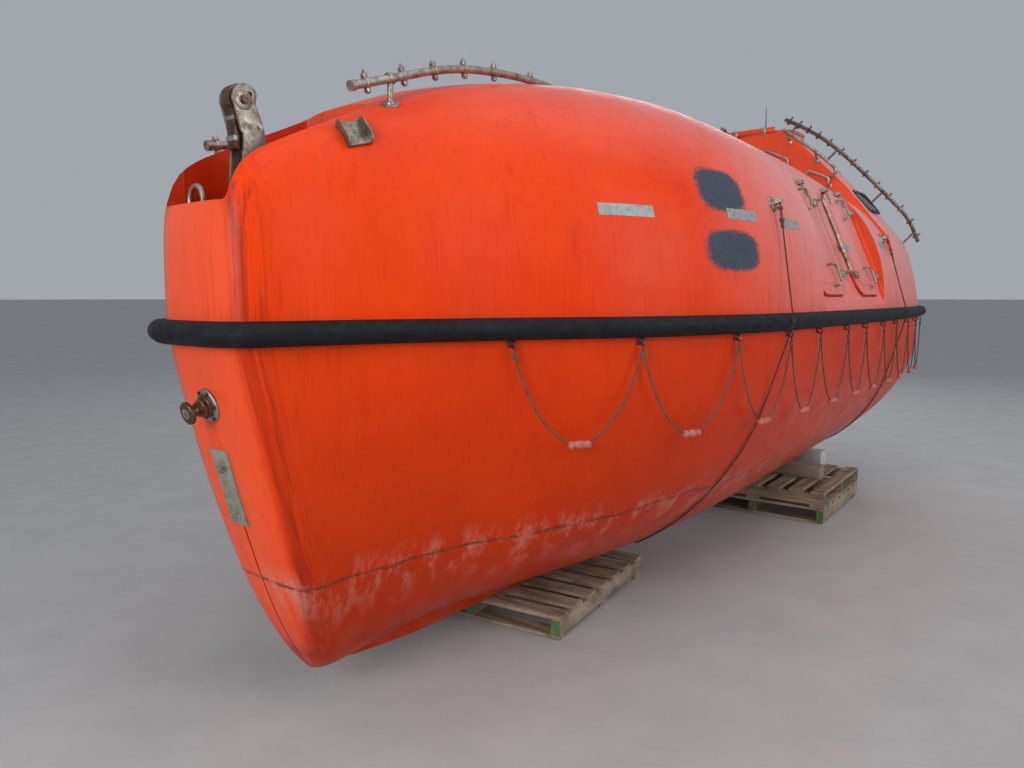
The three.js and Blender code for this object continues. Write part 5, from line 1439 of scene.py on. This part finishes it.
def roof_lid():
    def on_roof(plate, rise):
        return place(plate, at(LID_AFT, 0, TOWER_TOP + rise))

    lid = on_roof(rounded(0.386, 0.476, 0.108, 0.026, 0.007, 10), 0.0190)
    crown = on_roof(rounded(0.300, 0.390, 0.075, 0.006, 0.0028, 10), 0.0325)
    new_piece("roof_hatch_lid_skin", merge([lid, crown]), HATCH_ORANGE, "roof_hatch_lid", 35,
              ["roof_hatch"])
    plug = on_roof(rounded(0.312, 0.402, 0.070, 0.026, 0.003, 8), -0.0055)
    new_piece("roof_hatch_lid_plug", plug, LINER, "roof_hatch_lid", 35)
    top = TOWER_TOP + 0.030
    handle = [at(5.0, y, top + rise) for y, rise in (
        (-0.070, 0), (-0.070, 0.018), (-0.060, 0.030), (0.060, 0.030), (0.070, 0.018), (0.070, 0))]
    metal = [tube(smooth_path(handle, 5), 0.0072, 14)]
    for y in (-0.07, 0.07):
        metal.append(button(at(5.0, y, top + 0.002), UP, 0.016, 0.002, 0.009, 0.005, 0))
    new_piece("roof_hatch_handle", merge(metal), STEEL, "roof_hatch_lid", 40)


roof_lid()


# Searchlight and aerial

def lamp_spot(out):
    return face_point(-0.29, 2.375, out)


LAMP_BACK = lamp_spot(0.078) + Vector((0.034, 0, -0.006))
LAMP_FRONT = lamp_spot(0.078) + Vector((-0.062, 0, 0.010))
LAMP_AIM = (LAMP_FRONT - LAMP_BACK).normalized()
lamp = [rod(lamp_spot(-0.006), lamp_spot(0.058), 0.014, 20)]
lamp += flange(lamp_spot(0), DOOR_OUT, 0.030, 0.005, 4)
lamp.append(lathe([(0, 0), (0.022, 0.002), (0.036, 0.010), (0.044, 0.024), (0.0465, 0.045),
                   (0.053, 0.078), (0.0555, 0.084), (0.0555, 0.0965), (0.050, 0.0975),
                   (0.048, 0.090), (0, 0.089)], LAMP_BACK, LAMP_AIM, 36))
new_piece("searchlight_body", merge(lamp), GREY_STEEL, "root", 35, ["searchlight"])
lens = lathe([(0, 0), (0.047, 0), (0.047, 0.002), (0.030, 0.0055), (0, 0.007)],
             LAMP_BACK + LAMP_AIM * 0.088, LAMP_AIM, 32)
new_piece("searchlight_lens", lens, GLASS, "root", 50)

whip_foot = at(5.16, -0.15, TOWER_TOP)
whip = [lathe([(0, -0.06), (0.017, -0.06), (0.0175, 0.004), (0.012, 0.012), (0.011, 0.036),
               (0.006, 0.041), (0, 0.041)], whip_foot, UP, 24),
        lathe([(0, 0.03), (0.0055, 0.03), (0.005, 0.10), (0.0032, 0.24), (0.0022, 0.312),
               (0.004, 0.314), (0.004, 0.319), (0, 0.3195)], whip_foot, UP, 12)]
new_piece("aerial_whip", merge(whip), BLACK_PAINT, "root", 35, ["aerial"])


# Lifting hooks: two flame-cut cheeks, spacers between them, and a hook that turns on the pin

CHEEK = [(-0.075, 0.008), (-0.074, 0.060), (-0.071, 0.140), (-0.062, 0.300), (-0.052, 0.400),
         (-0.042, 0.485), (-0.026, 0.535), (-0.012, 0.575), (-0.016, 0.603), (-0.006, 0.624),
         (0.020, 0.635), (0.045, 0.630), (0.066, 0.612), (0.075, 0.582), (0.067, 0.557),
         (0.048, 0.483), (0.038, 0.453), (0.052, 0.300), (0.070, 0.120), (0.080, 0.008),]
TONGUE = [(0.080, 0.585), (0.072, 0.615), (0.050, 0.632), (0.032, 0.634), (0.028, 0.616),
          (0.020, 0.604), (0.008, 0.598), (-0.004, 0.604), (-0.008, 0.618), (-0.015, 0.612),
          (-0.018, 0.595), (-0.010, 0.575), (0.006, 0.562), (0.022, 0.545), (0.024, 0.440),
          (0.032, 0.420), (0.052, 0.420), (0.060, 0.440), (0.062, 0.540), (0.078, 0.560),]


def lifting_hook(name, aft, floor, ahead_sign):
    def outline(rows):
        return [(aft - ahead_sign * ahead, floor + rise) for ahead, rise in rows]

    def spot(ahead, y, rise):
        return at(aft - ahead_sign * ahead, y, floor + rise)

    pin_ahead, pin_rise = 0.037, 0.579
    cheeks = []
    for way in (1, -1):
        plate = outline_plate(outline(CHEEK), way * 0.038, 0.0116, 0.0016, 3)
        cheeks.append(cut(plate, rod(spot(0.012, way * 0.06, 0.600),
                                     spot(0.012, way * 0.02, 0.600), 0.0105, 28, 0.0005)))
        collar_at = spot(pin_ahead, way * 0.0435, pin_rise)
        cheeks.append(button(collar_at, (0, way, 0), 0.033, 0.0028, 0.030, 0.0045, -0.003, 32))
        for k in range(4):
            swing = 0.5 + k * math.pi / 2
            cheeks.append(round_bolt(collar_at + Vector((math.cos(swing) * 0.0255, way * 0.004,
                                                         math.sin(swing) * 0.0255)), (0, way, 0),
                                     0.0042))
        for ahead, rise, size in ((-0.005, 0.120, 0.0125), (0.0, 0.330, 0.0105),
                                  (-0.022, 0.500, 0.008)):
            cheeks.append(hex_bolt(spot(ahead, way * 0.0436, rise), (0, way, 0), size))
    new_piece(f"{name}_cheeks", merge(cheeks), HOOK_STEEL, "root", 30, [f"{name}_frame"])

    middle = [rod(spot(pin_ahead, -0.053, pin_rise), spot(pin_ahead, 0.053, pin_rise), 0.0155, 28,
                  0.002)]
    for ahead, rise, radius in ((-0.005, 0.120, 0.0175), (0.0, 0.330, 0.0135)):
        middle.append(rod(spot(ahead, -0.034, rise), spot(ahead, 0.034, rise), radius, 22, 0.001))
    for way in (1, -1):
        middle.append(hex_bolt(spot(pin_ahead, way * 0.0475, pin_rise), (0, way, 0), 0.0125, False))
    for rise, ahead in ((0.245, -0.035), (0.40, -0.030)):
        middle.append(box(spot(ahead, 0, rise), (0.030, 0.0642, 0.060), None, 0.004))
    new_piece(f"{name}_spacers", merge(middle), RUSTY, "root", 35)

    foot = [box(spot(0, 0, 0.0064), (0.188, 0.148, 0.0112), None, 0.003)]
    for ahead in (-0.078, 0.078):
        for y in (-0.060, 0.060):
            foot.append(hex_bolt(spot(ahead, y, 0.0118), UP, 0.0085))
    new_piece(f"{name}_foot", merge(foot), STEEL, "root", 35)

    tongue = outline_plate(outline(TONGUE), 0, 0.0485, 0.003, 3)
    tongue = cut(tongue, rod(spot(pin_ahead, -0.06, pin_rise), spot(pin_ahead, 0.06, pin_rise),
                             0.0163, 28, 0.0005))
    new_piece(f"{name}_tongue", tongue, RUSTY, f"{name}_body", 32, [name])
    bands = [box(spot(0.0555, 0, rise), (0.018, 0.052, high), None, 0.003) for rise, high in
             ((0.522, 0.016), (0.455, 0.020))]
    new_piece(f"{name}_tongue_bands", merge(bands), GREY_STEEL, f"{name}_body", 32)


lifting_hook("fore_hook", 0.232, TROUGH["floor"], 1)
lifting_hook("aft_hook", 5.690, AFT_SLOT["floor"], -1)

# Bow fittings

STEM_OUT = Vector((0.968, 0, -0.25)).normalized()
STEM_UP = Vector((0.25, 0, 0.968)).normalized()


def nose_point(z, across=0.0, up=0.0, out=0.0):
    return at(column(STEM_RAKE, 1, z), across, z) + STEM_UP * up + STEM_OUT * out


BOLLARD = nose_point(1.205)
bollard = lathe([(0, -0.012), (0.060, -0.012), (0.060, 0.007), (0.056, 0.011), (0.043, 0.0125),
                 (0, 0.0125)], BOLLARD, STEM_OUT, 40)
new_piece("bollard_base", bollard, GREY_STEEL, "root", 35, ["bow_bollard"])
neck = [lathe([(0, 0.010), (0.040, 0.010), (0.040, 0.019), (0.036, 0.022), (0.033, 0.022),
               (0.033, 0.032), (0.030, 0.036), (0.026, 0.038), (0.026, 0.046), (0.020, 0.050),
               (0.0185, 0.062), (0.022, 0.067), (0.036, 0.0715), (0.0395, 0.075), (0.0395, 0.0825),
               (0.037, 0.086), (0.022, 0.0875), (0.020, 0.0865), (0, 0.0865)], BOLLARD, STEM_OUT,
              40)]
for way in round_about(STEM_OUT, 6):
    neck.append(hex_bolt(BOLLARD + STEM_OUT * 0.0112 + way * 0.0505, STEM_OUT, 0.0050))
new_piece("bollard_neck", merge(neck), RUSTY, "root", 35)
cap = lathe([(0, 0.0863), (0.0195, 0.0863), (0.0185, 0.0893), (0.006, 0.0898), (0, 0.0898)],
            BOLLARD, STEM_OUT, 28)
new_piece("bollard_cap", cap, STEEL, "root", 35)

plate_turn = basis((0, 1, 0), STEM_UP)
plate = box(nose_point(0.905, -0.014, 0, 0.001), (0.104, 0.290, 0.014), plate_turn, 0.003)
new_piece("bow_plate_zinc", plate, ZINC, "root", 35, ["bow_plate"])
plate_bolts = []
for up in (0.078, -0.098):
    spot = nose_point(0.905, -0.012, up, 0.008)
    plate_bolts.append(button(spot, STEM_OUT, 0.0215, 0.002, 0.0195, 0.003, steps=24))
    plate_bolts.append(hex_bolt(spot, STEM_OUT, 0.0165))
    plate_bolts.append(rod(spot, spot + STEM_OUT * 0.022, 0.0085, 18, 0.0015))
new_piece("bow_plate_bolts", merge(plate_bolts), ZINC_BOLT, "root", 35)

RING = (0.110, -0.130)
ring_path = [at(RING[0], RING[1] + y, z) for y, z in (
    (-0.045, 1.645), (-0.045, 1.760), (-0.045, 1.880), (-0.041, 1.912), (-0.026, 1.936),
    (0, 1.9445), (0.026, 1.936), (0.041, 1.912), (0.045, 1.880), (0.045, 1.760), (0.045, 1.645))]
ring_parts = [tube(smooth_path(ring_path, 6), 0.0095, 16)]
ring_parts.append(box(at(*RING, 1.646), (0.060, 0.124, 0.009), None, 0.002))
for y in (-0.045, 0.045):
    ring_parts.append(lathe([(0, -0.004), (0.0155, -0.004), (0.0125, 0.004), (0, 0.006)],
                            at(RING[0], RING[1] + y, 1.6535), UP, 18))
new_piece("painter_ring_bar", merge(ring_parts), STEEL, "root", 45, ["painter_ring"])


def lobe_bracket(side):
    foot, out = top_of(0.462, 0.286)
    aftward = (AFTWARD - out * AFTWARD.dot(out)).normalized()
    inward = out.cross(aftward)
    turn = basis(aftward, inward)
    parts = [box(foot + out * 0.004, (0.090, 0.108, 0.007), turn, 0.0015)]
    for shift in (-0.042, 0.042):
        ear = bmesh.new()
        corners = [(-0.054, -0.010), (0.054, -0.010), (0.054, 0.024), (0.036, 0.040),
                   (-0.036, 0.040), (-0.054, 0.024)]
        base = foot + aftward * (shift - 0.003)
        ear.faces.new([ear.verts.new(base + inward * u + out * v) for u, v in corners])
        thicken(ear, aftward * 0.006)
        bevel(ear, ear.edges, 0.001)
        parts.append(ear)
    for u in (-0.035, 0.0, 0.035):
        parts.append(round_bolt(foot + out * 0.007 + inward * u, out, 0.0055))
    bm = merge(parts)
    return bm if side > 0 else turned_over(bm)


for side_name, side in SIDES:
    new_piece(f"lobe_bracket_{side_name}_channel", lobe_bracket(side), BRACKET_GREY, "root", 35,
              [f"lobe_bracket_{side_name}"])


# Gripe eyes, turnbuckles and wires

GRIPES = [
    ("fore", 2.371, 2.003, 2.292, [(2.246, 1.010), (2.213, 0.900), (2.180, 0.790), (2.118, 0.600),
                                   (2.066, 0.440), (2.030, 0.330)]),
    ("aft", 4.480, 1.960, 4.570, [(4.606, 1.010), (4.614, 0.900), (4.622, 0.790), (4.634, 0.640),
                                  (4.644, 0.530), (4.652, 0.440)]),
]


# Sideways and upward share of the way that the pins stand off the canopy
GRIPE_OUT = (0.9, 0.43)


def canopy_out(aft, z, out):
    """Point off the canopy's section, as the pins are set out."""
    power = column(CANOPY_LINES, 2, aft)
    rise = (z - SHEER) / (column(CANOPY_LINES, 1, aft) - SHEER)
    y = column(HULL_LINES, 1, aft) * (1 - rise**power) ** (1 / power)
    return at(aft, y, z) + Vector((0, out * GRIPE_OUT[0], out * GRIPE_OUT[1]))


def hull_out(aft, z, out):
    """Point off the hull's section, as the eyes are set out."""
    low, power = column(HULL_LINES, 2, aft), column(HULL_LINES, 3, aft)
    depth = min(1.0, (SHEER - z) / (SHEER - low))
    share = (1 - depth**power) ** (1 / power)
    y = column(HULL_LINES, 1, aft) * share
    slope = (column(HULL_LINES, 1, aft + 0.04) * share - y) / 0.04
    outward = Vector((slope, 1, -0.15 if depth > 0 else 0)).normalized()
    return at(aft, y, z) + outward * out


def fender_lip(aft, z):
    return at(aft, column(HULL_LINES, 1, aft) + 0.069, z)


def gripe(place_name, aft, z, over, down, side_name, side):
    out = Vector((0, *GRIPE_OUT)).normalized()
    turn = basis(AFTWARD, AFTWARD.cross(out) * -1)
    base = canopy_out(aft, z, 0)
    pin = canopy_out(aft, z, 0.040)
    eye = [lathe([(0, -0.012), (0.039, -0.012), (0.039, 0.004), (0.036, 0.0075), (0.018, 0.009),
                  (0, 0.009)], base, out, 36)]
    for way in (-1, 1):
        eye.append(box(base + out * 0.026 + Vector((way * 0.0125, 0, 0)), (0.006, 0.026, 0.042),
                       turn, 0.0018))
        eye.append(hex_bolt(pin + Vector((way * 0.0165, 0, 0)), (way, 0, 0), 0.0072))
    for side_way in round_about(out, 4, math.pi / 4):
        eye.append(hex_bolt(base + side_way * 0.029 + out * 0.0072, out, 0.0050))
    eye.append(rod(pin - Vector((0.026, 0, 0)), pin + Vector((0.026, 0, 0)), 0.0048, 14))
    bm = merge(eye)
    new_piece(f"gripe_eye_{place_name}_{side_name}_pad", bm if side > 0 else turned_over(bm),
              STEEL, "root", 35, [f"gripe_eye_{place_name}_{side_name}"])

    lip = fender_lip(over, SHEER + 0.012)
    way = (lip - pin).normalized()
    side_way = way.cross(out).normalized()
    top, foot = pin + way * 0.017, pin + way * 0.120
    screw = [rod(top, pin + way * 0.046, 0.0048, 14), rod(pin + way * 0.090, foot, 0.0048, 14)]
    for shift in (-1, 1):
        screw.append(rod(pin + way * 0.038 + side_way * 0.0075 * shift,
                         pin + way * 0.098 + side_way * 0.0075 * shift, 0.0033, 12))
    for reach in (0.040, 0.096):
        screw.append(lathe([(0.003, -0.006), (0.0115, -0.006), (0.012, 0), (0.0115, 0.006),
                            (0.003, 0.006), (0.003, -0.006)], pin + way * reach, way, 18))
    screw.append(lathe([(0, 0.104), (0.0075, 0.104), (0.0082, 0.108), (0.0082, 0.134),
                        (0.0055, 0.138), (0, 0.138)], pin, way, 18))
    path = [foot, foot.lerp(lip, 0.33), foot.lerp(lip, 0.66), lip, fender_lip(over, SHEER),
            fender_lip(over, SHEER - 0.012)]
    path += [hull_out(a, h, 0.0052) for a, h in down]
    eased = []
    for p in smooth_path(path, 7):
        hit, normal, _, _ = SKIN.find_nearest(p)
        if hit is not None and (p - hit).dot(normal) < 0.0048:
            p = hit + normal * 0.0050
        eased.append(p)
    screw, wire = merge(screw), tube(eased, 0.0036, 10)
    if side < 0:
        screw, wire = turned_over(screw), turned_over(wire)
    new_piece(f"turnbuckle_{place_name}_{side_name}", screw, RUSTY, "root", 35,
              [f"gripe_wire_{place_name}_{side_name}"])
    new_piece(f"gripe_line_{place_name}_{side_name}", wire, WIRE, "root", 60)


for row in GRIPES:
    for side_name, side in SIDES:
        gripe(*row, side_name, side)


# Reflective tapes on the canopy and the hatches

tapes = []
for side in (1, -1):
    for aft, z, width in ((1.360, 1.903, 0.235), (2.034, 1.925, 0.233), (2.527, 1.920, 0.235),
                          (4.438, 1.912, 0.240)):
        tapes.append(laid(aft, z, width, 0.046, 0.0007, side))
new_piece("canopy_tapes", merge(tapes), TAPE, "root", 0)
for hatch_name, hatch_aft in HATCH_AFTS.items():
    for side_name, side in SIDES:
        shift = -0.115 if hatch_name == "fore_hatch" else -0.195
        strip = rounded(0.165, 0.044, 0.002, 0.0008, 0)
        strip = place(strip, recess_point(hatch_aft + shift, 0.335, 0.0231, side),
                      recess_turn(side))
        new_piece(f"{hatch_name}_{side_name}_tape", strip, TAPE, f"{hatch_name}_{side_name}_leaf",
                  0)


# Stern gear

shaft = lathe([(0, 0), (0.016, 0), (0.0185, 0.003), (0.0185, 0.396), (0.022, 0.397),
               (0.022, 0.405), (0.0185, 0.406), (0.0185, 0.437), (0.016, 0.4395), (0, 0.4395)],
              at(5.25, 0, SHAFT_Z), AFTWARD, 28)
new_piece("propeller_shaft_bar", shaft, STEEL, "root", 35, ["propeller_shaft"])


def shoe():
    rows = [(5.150, 0.425), (5.446, 0.500), (5.446, 0.560), (5.600, 0.556), (5.790, 0.556),
            (5.790, 0.528), (5.600, 0.524), (5.440, 0.470), (5.150, 0.385)]
    piece = loose("shoe", outline_plate(rows, 0, 0.040, 0.003, 0))
    carve(piece, put("keel_copy", KEEL.data.copy()))
    return mesh_of(piece)


dress("skeg_shoe_bar", shoe(), RUSTY, "root", 35, ["skeg_shoe"])


def nozzle():
    profile = [(0.170, 5.620), (0.176, 5.6205), (0.1815, 5.630), (0.182, 5.650), (0.182, 5.730),
               (0.1785, 5.780), (0.1725, 5.8345), (0.1625, 5.8345), (0.1615, 5.800),
               (0.1655, 5.720), (0.1665, 5.650), (0.170, 5.620)]
    ring = lathe([(r, aft - 5.62) for r, aft in profile], at(5.62, 0, SHAFT_Z), AFTWARD, 64)
    parts = [ring, box(at(5.805, 0, SHAFT_Z), (0.054, 0.013, 0.326), None, 0.004)]
    new_piece("steering_nozzle_ring", merge(parts), HULL_ORANGE, "steering_nozzle_body", 40,
              ["steering_nozzle"])
    steel = [lathe([(0, 0), (0.0155, 0), (0.0155, 0.118), (0, 0.118)],
                   at(PIVOT_AFT, 0, SHAFT_Z + 0.177), UP, 28),
             lathe([(0, 0), (0.030, 0), (0.030, 0.006), (0.018, 0.014), (0, 0.014)],
                   at(PIVOT_AFT, 0, SHAFT_Z + 0.178), UP, 28),
             lathe([(0, 0), (0.0195, 0), (0.0195, 0.030), (0, 0.030)], at(PIVOT_AFT, 0, 0.5565),
                   UP, 28)]
    for k in (-1, 1):
        steel.append(hex_bolt(at(PIVOT_AFT + k * 0.045, 0, SHAFT_Z + 0.181), UP, 0.009))
    new_piece("steering_stock", merge(steel), STEEL, "steering_nozzle_body", 35)


nozzle()


# Turn of one blade: its width, its thickness and its radius, column by column
BLADE_PITCH = Matrix(((-0.5227, -0.8525, 0), (0, 0, 1), (-0.8525, 0.5227, 0)))
BLADES = 3
BLADE_THICK = 0.007


def propeller():
    parts = [lathe([(0.0205, 0), (0.032, 0), (0.0355, 0.006), (0.034, 0.045), (0.026, 0.068),
                    (0.0215, 0.075), (0.0205, 0.075), (0.0205, 0)], at(5.664, 0, SHAFT_Z), AFTWARD,
                   36)]
    outline = [(-0.016, 0.022), (-0.036, 0.056), (-0.051, 0.092), (-0.051, 0.116), (-0.042, 0.135),
               (-0.026, 0.145), (-0.008, 0.1495), (0.016, 0.1465), (0.034, 0.136), (0.045, 0.116),
               (0.045, 0.092), (0.033, 0.056), (0.017, 0.022)]
    points = smooth_path([(u, 0, v) for u, v in outline], 3)
    for k in range(BLADES):
        bm = bmesh.new()
        bm.faces.new([bm.verts.new(p) for p in points])
        thicken(bm, (0, BLADE_THICK, 0))
        bmesh.ops.translate(bm, vec=(0, -BLADE_THICK / 2, 0), verts=bm.verts)
        bevel(bm, level_edges(bm, 1), 0.0024)
        turn = Matrix.Rotation(k * 2 * math.pi / BLADES, 3, "X") @ BLADE_PITCH
        bmesh.ops.rotate(bm, cent=(0, 0, 0), matrix=turn, verts=bm.verts)
        bmesh.ops.translate(bm, vec=at(PIVOT_AFT, 0, SHAFT_Z), verts=bm.verts)
        parts.append(bm)
    new_piece("propeller_blades", merge(parts), BRONZE, "propeller_body", 35, ["propeller"])
    nut = lathe([(0, 0), (0.021, 0), (0.020, 0.012), (0.010, 0.022), (0, 0.024)],
                at(5.7385, 0, SHAFT_Z), AFTWARD, 24)
    new_piece("propeller_nut", nut, BRONZE, "propeller_body", 35)


propeller()


# Inside

def crowned(size, centre, crown):
    """Closed pad whose faces bulge and whose sides pull in between the corners."""
    bm = bmesh.new()
    bmesh.ops.create_cube(bm, size=1)
    bmesh.ops.subdivide_edges(bm, edges=bm.edges, cuts=9, use_grid_fill=True)
    for v in bm.verts:
        u, w, h = v.co.x * 2, v.co.y * 2, v.co.z * 2
        round_u = (1 - u * u) * (1 - w * w)
        v.co.z += math.copysign(0.5, h) * crown / size[2] * round_u * (1 if abs(h) > 0.99 else 0)
        pull = 1 - 0.035 * (1 - h * h)
        v.co.x *= pull * (1 - 0.03 * (1 - w * w) * abs(u))
        v.co.y *= pull * (1 - 0.03 * (1 - u * u) * abs(w))
        corner = abs(u) ** 6 * abs(w) ** 6
        v.co.x *= 1 - 0.05 * corner
        v.co.y *= 1 - 0.05 * corner
    bmesh.ops.scale(bm, vec=size, verts=bm.verts)
    bmesh.ops.smooth_vert(bm, verts=bm.verts, factor=0.5, use_axis_x=True, use_axis_y=True,
                          use_axis_z=True)
    bmesh.ops.translate(bm, vec=centre, verts=bm.verts)
    return bm


cushion = new_piece("helm_cushion", crowned((0.335, 0.41, 0.10), at(4.81, 0, 1.275), 0.016),
                    SEAT_BLACK, "root", 60, ["helm_seat"])
back = new_piece("helm_backrest", crowned((0.074, 0.385, 0.46), at(4.995, 0, 1.605), 0.0),
                 SEAT_BLACK, "root", 60)
frame_parts = [box(at(4.82, 0, 1.10), (0.30, 0.36, 0.17), None, 0.012),
               box(at(4.82, 0, 1.212), (0.35, 0.42, 0.022), None, 0.008)]
for y in (-0.14, 0.14):
    frame_parts.append(tube(smooth_path([at(4.97, y, 1.05), at(5.005, y, 1.15), at(5.028, y, 1.30),
                                         at(5.030, y, 1.80)], 6), 0.0085, 12))
new_piece("helm_seat_frame", merge(frame_parts), ENGINE_GREY, "root", 35)

console = [box(at(4.19, 0, 1.02), (0.172, 0.452, 1.17), None, 0.018),
           box(at(4.205, 0, 1.601), (0.140, 0.430, 0.030), None, 0.010)]
new_piece("helm_console_shell", merge(console), LINER, "root", 35, ["helm_console"])
wheel_turns = [k * math.pi / 20 for k in range(40)]
wheel = tube([at(4.272, 0.10 * math.cos(t), 1.47 + 0.10 * math.sin(t)) for t in wheel_turns], 0.007,
             12, True)
new_piece("helm_wheel", wheel, BLACK_PAINT, "root", 50)

block = [box(at(4.64, 0, 0.56), (0.66, 0.30, 0.24), None, 0.02),
         box(at(4.62, 0, 0.78), (0.54, 0.26, 0.22), None, 0.03),
         box(at(4.60, 0, 0.935), (0.44, 0.20, 0.10), None, 0.03)]
for aft in (4.44, 4.56, 4.68, 4.80):
    block.append(rod(at(aft, 0.13, 0.80), at(aft, 0.17, 0.80), 0.03, 20))
    block.append(rod(at(aft, 0, 0.93), at(aft, 0, 1.003), 0.022, 20))
for y in (-0.21, 0.21):
    block.append(box(at(4.64, y, 0.475), (0.66, 0.055, 0.085), None, 0.008))
    for aft in (4.40, 4.88):
        block.append(box(at(aft, y * 0.9, 0.54), (0.06, 0.09, 0.06), None, 0.01))
block.append(lathe([(0, 0), (0.13, 0), (0.13, 0.03), (0.05, 0.035), (0, 0.035)],
                   at(4.305, 0, 0.68), AFTWARD, 36))
new_piece("engine_castings", merge(block), ENGINE_GREY, "root", 35, ["engine_block"])


# Pallets, timber and block under the keel

def board(size, centre, seed):
    """Sawn board, a hair wider or narrower than its fellows."""
    wobble = 0.0015 * math.sin(seed * 12.9)
    return box(centre, (size[0], size[1] + wobble, size[2]), None, 0.0022, 1)


DECK_BOARDS = 7


def pallet(name, aft, y, base, turn, node):
    side, height, thick = 1.0, 0.110, 0.018
    half = side / 2
    spread = Matrix.Translation(at(aft, y, base)) @ Matrix.Rotation(math.radians(turn), 4, "Z")
    across, runners, heads, ends = [], [], [], []
    pitch = (side - 0.096) / (DECK_BOARDS - 1)
    deck_rows = [-half + 0.048 + i * pitch for i in range(DECK_BOARDS)]
    for i, x in enumerate(deck_rows):
        across.append(board((0.094, side - 0.004 * ((i * 7) % 3), thick),
                            (x, 0, height - thick / 2 - 0.0004), i + 1))
    for i, x in enumerate((-half + 0.05, 0, half - 0.05)):
        across.append(board((0.098, side - 0.003, thick - 0.001), (x, 0, thick / 2), i + 11))
    for j, centre_y in enumerate((-half + 0.024, 0, half - 0.024)):
        runners.append(board((side - 0.002, 0.046, height - 2 * thick), (0, centre_y, height / 2),
                             j + 21))
        for x in deck_rows:
            for dx, dy in ((-0.028, -0.008), (0.024, 0.010)):
                heads.append(round_bolt(Vector((x + dx, centre_y + dy, height - 0.0012)), UP,
                                        0.0032))
        for way in (-1, 1):
            ends.append(box((way * (half - 0.0025), centre_y, height / 2),
                            (0.0062, 0.0468, height - 2 * thick - 0.004), None, 0.001, 1))
    grain_across, grain_along = (PLANK_Y, PLANK_X) if abs(turn) < 45 else (PLANK_X, PLANK_Y)
    for label, parts, finish in (("boards", across, grain_across),
                                 ("stringers", runners, grain_along), ("nails", heads, RUSTY),
                                 ("end_paint", ends, GREEN_END)):
        bm = merge(parts)
        bmesh.ops.transform(bm, matrix=spread, verts=bm.verts)
        new_piece(f"{name}_{label}", bm, finish, "root", 30, [node] if label == "boards" else ())


pallet("pallet_front", 1.876, -0.120, 0.0, 8.5, "pallet_front")
pallet("pallet_rear_low", 4.542, 0.265, 0.0, 3.2, "pallet_rear_lower")
pallet("pallet_rear_top", 4.542, 0.265, 0.1104, 93.2, "pallet_rear_upper")

beam = box(at(4.5, 0.155, 0.2705), (0.0985, 0.968, 0.0985), None, 0.004)
new_piece("timber_beam_baulk", beam, PLANK_Y, "root", 30, ["timber_beam"])
pad = box(at(4.9475, 0.385, 0.2828), (0.123, 0.238, 0.123), None, 0.006)
new_piece("bilge_block_foam", pad, FOAM, "root", 35, ["bilge_block"])


# Lifelines: eyes under the fender, a rope in bights between them, and a float on each bight

EYES_AFT = [0.920, 1.382, 1.921, 2.400, 2.812, 3.303, 3.693, 4.144, 4.513, 4.960, 5.400, 5.800]
EYE_Z = 1.400
ROPE_DROP = 0.375
ROPE_THICK = 0.008
EYE_LOOPS = [hull_out(aft, 1.378, 0.024) for aft in EYES_AFT]


def bight_point(i, share):
    spot = EYE_LOOPS[i].lerp(EYE_LOOPS[i + 1], share)
    spot.z -= ROPE_DROP * (4 * share * (1 - share)) ** 0.8
    return spot


def lobed_float(middle, direction):
    rows = [(0, -0.048), (0.0075, -0.048), (0.0125, -0.0455), (0.0158, -0.038), (0.0155, -0.030),
            (0.0125, -0.0255), (0.0112, -0.0235), (0.0130, -0.0205), (0.0165, -0.010),
            (0.0168, 0.0), (0.0165, 0.010), (0.0130, 0.0205), (0.0112, 0.0235), (0.0125, 0.0255),
            (0.0155, 0.030), (0.0158, 0.038), (0.0125, 0.0455), (0.0075, 0.048), (0, 0.048)]
    return lathe(rows, middle, direction, 20)


def lifeline(side_name, side):
    node = f"lifeline_{side_name}"

    def hand(p):
        return Vector((p.x, p.y * side, p.z))

    for i in range(len(EYES_AFT) - 1):
        path = [hand(bight_point(i, 0.5 - 0.5 * math.cos(math.pi * k / 30))) for k in range(31)]
        rope = new_piece(f"lifeline_{side_name}_{i + 1}", tube(path, ROPE_THICK / 2, 10), ROPE,
                         "root", 60, [node])
        way = (hand(EYE_LOOPS[i + 1]) - hand(EYE_LOOPS[i])).normalized()
        bead = new_piece(f"float_{side_name}_{i + 1}", lobed_float(path[15], way), FLOAT_PINK,
                         "root", 60, [node])

    metal, seizing = [], []
    for aft, loop in zip(EYES_AFT, EYE_LOOPS):
        foot, loop = hand(hull_out(aft, EYE_Z, 0)), hand(loop)
        out = (hand(hull_out(aft, EYE_Z, 1)) - foot).normalized()
        across = out.cross(UP).normalized()
        metal.append(box(foot + out * 0.002, (0.030, 0.044, 0.005),
                         basis(across, out.cross(across)), 0.0015))
        for up in (-0.015, 0.015):
            metal.append(round_bolt(foot + out * 0.0045 + lift(up), out, 0.0045))
        eye = [(foot, 0.001, 0.006), (foot, 0.014, 0.006), (foot, 0.026, -0.002),
               (loop, 0.002, 0.002), (loop, -0.010, 0.004), (foot, 0.001, -0.010)]
        eye = smooth_path([base + out * reach + lift(rise) for base, reach, rise in eye], 5)
        metal.append(tube(eye, 0.0038, 10))
        for way in (-1, 1):
            seizing.append(collar(loop + across * way * 0.0055 - lift(0.030), UP, 0.0048, 0.009,
                                  0.0016))
    new_piece(f"lifeline_eyes_{side_name}", merge(metal), RUSTY, "root", 40, [node])
    new_piece(f"lifeline_seizings_{side_name}", merge(seizing), ROPE, "root", 50, [node])


for side_name, side in SIDES:
    lifeline(side_name, side)

for material_slot in NODES["inner_liner"].material_slots:
    material_slot.material = LINER
